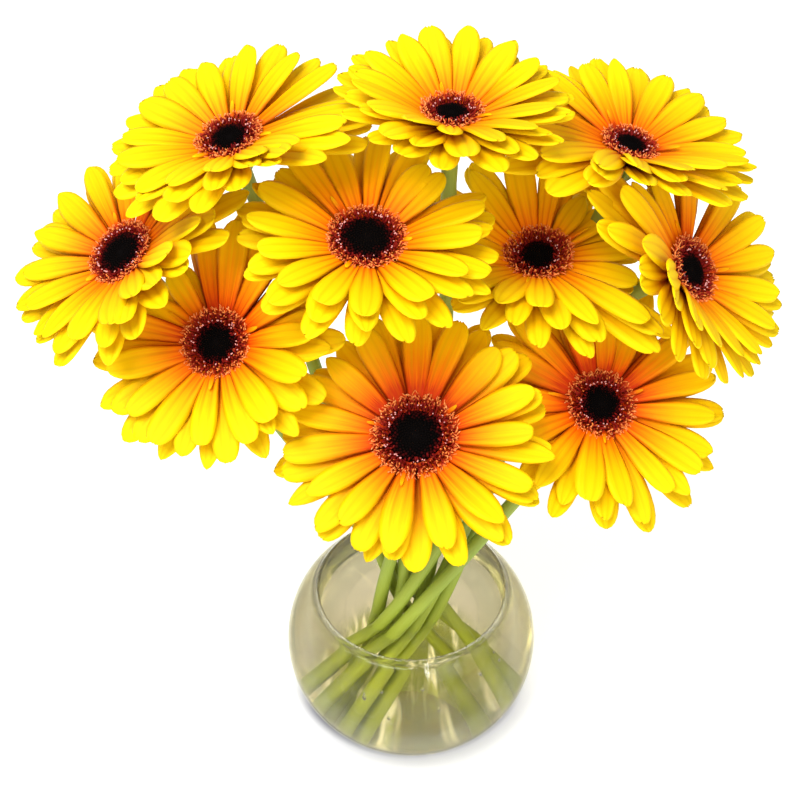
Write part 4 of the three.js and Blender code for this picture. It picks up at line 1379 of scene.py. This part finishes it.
def table_finish():
    made = Finish("white table")
    grain = made.noise(made.place(), 300, 2, 0.5)
    aside = made.node("VectorMath", {"operation": "SUBTRACT"}, {0: made.place(), 1: CONTACT_PLACE})
    away = made.value("VectorMath", "Value", {"operation": "LENGTH"}, {0: aside.outputs[0]})
    share = away * (1 / CONTACT_LENGTH)
    front = 1 - made.parts(made.place())[1].ramp(*CONTACT_FRONT)
    shown = front + (1 - front) * (1 - share.ramp(0.34, 0.52))
    # painted shade and light: a pale pool under the bowl and a dark contact shadow round its front
    glow = made.mix(shown, UNTOUCHED, made.colours(share, PAINTED_CONTACT_SHADOW_AND_LIGHT))
    colour = made.mix(0.75, TABLE_WHITE, made.mix(1.0, glow, TABLE_WHITE, "MULTIPLY"))
    return made.shade(Base_Color=colour, Roughness=0.7 + 0.1 * grain,
                      Emission_Color=glow, Emission_Strength=TABLE_GLOW)


table.data.materials.append(table_finish())
print("table:", table.dimensions[0], "m wide")

# %% [markdown]
# A large soft lamp above and to the left shapes the petals and a weaker one fills from the front. A
# narrow one lies on the glass as the long reflection of a window. Pale surroundings do the rest.


# %% Lamps and surroundings
def lamp(name, place, aim, size, power, height=None):
    bpy.ops.object.light_add(type="AREA", location=place)
    made = bpy.context.object
    made.name = name
    made.data.shape = "RECTANGLE"
    made.data.size, made.data.size_y = size, height or size
    made.data.energy = power
    away = np.array(place) - np.array(aim)
    made.rotation_euler = (math.atan2(math.hypot(away[0], away[1]), away[2]), 0,
                           math.atan2(away[0], -away[1]))


lamp("lamp_above", (-0.45, -0.50, 1.55), (0, 0, 0.2), 0.9, 27)
lamp("lamp_front", (0.8, -1.3, 0.7), (0, 0, 0.2), 0.8, 5.5)
lamp("lamp_window", (0.32, -1.24, 0.77), (0, -0.04, 0.08), 0.09, 3.2, 0.6)

WORLD_LIGHT = 0.53
world = bpy.context.scene.world or bpy.data.worlds.new("surroundings")
bpy.context.scene.world = world
world.use_nodes = True
background = world.node_tree.nodes["Background"].inputs
background["Color"].default_value = (1, 1, 1, 1)
background["Strength"].default_value = WORLD_LIGHT

bpy.context.scene.view_settings.view_transform = "Standard"
bpy.context.scene.view_settings.look = "None"
bpy.context.scene.cycles.max_bounces = 24  # light runs a long way round inside a glass wall
bpy.context.scene.cycles.glossy_bounces = 16
bpy.context.scene.cycles.transmission_bounces = 24
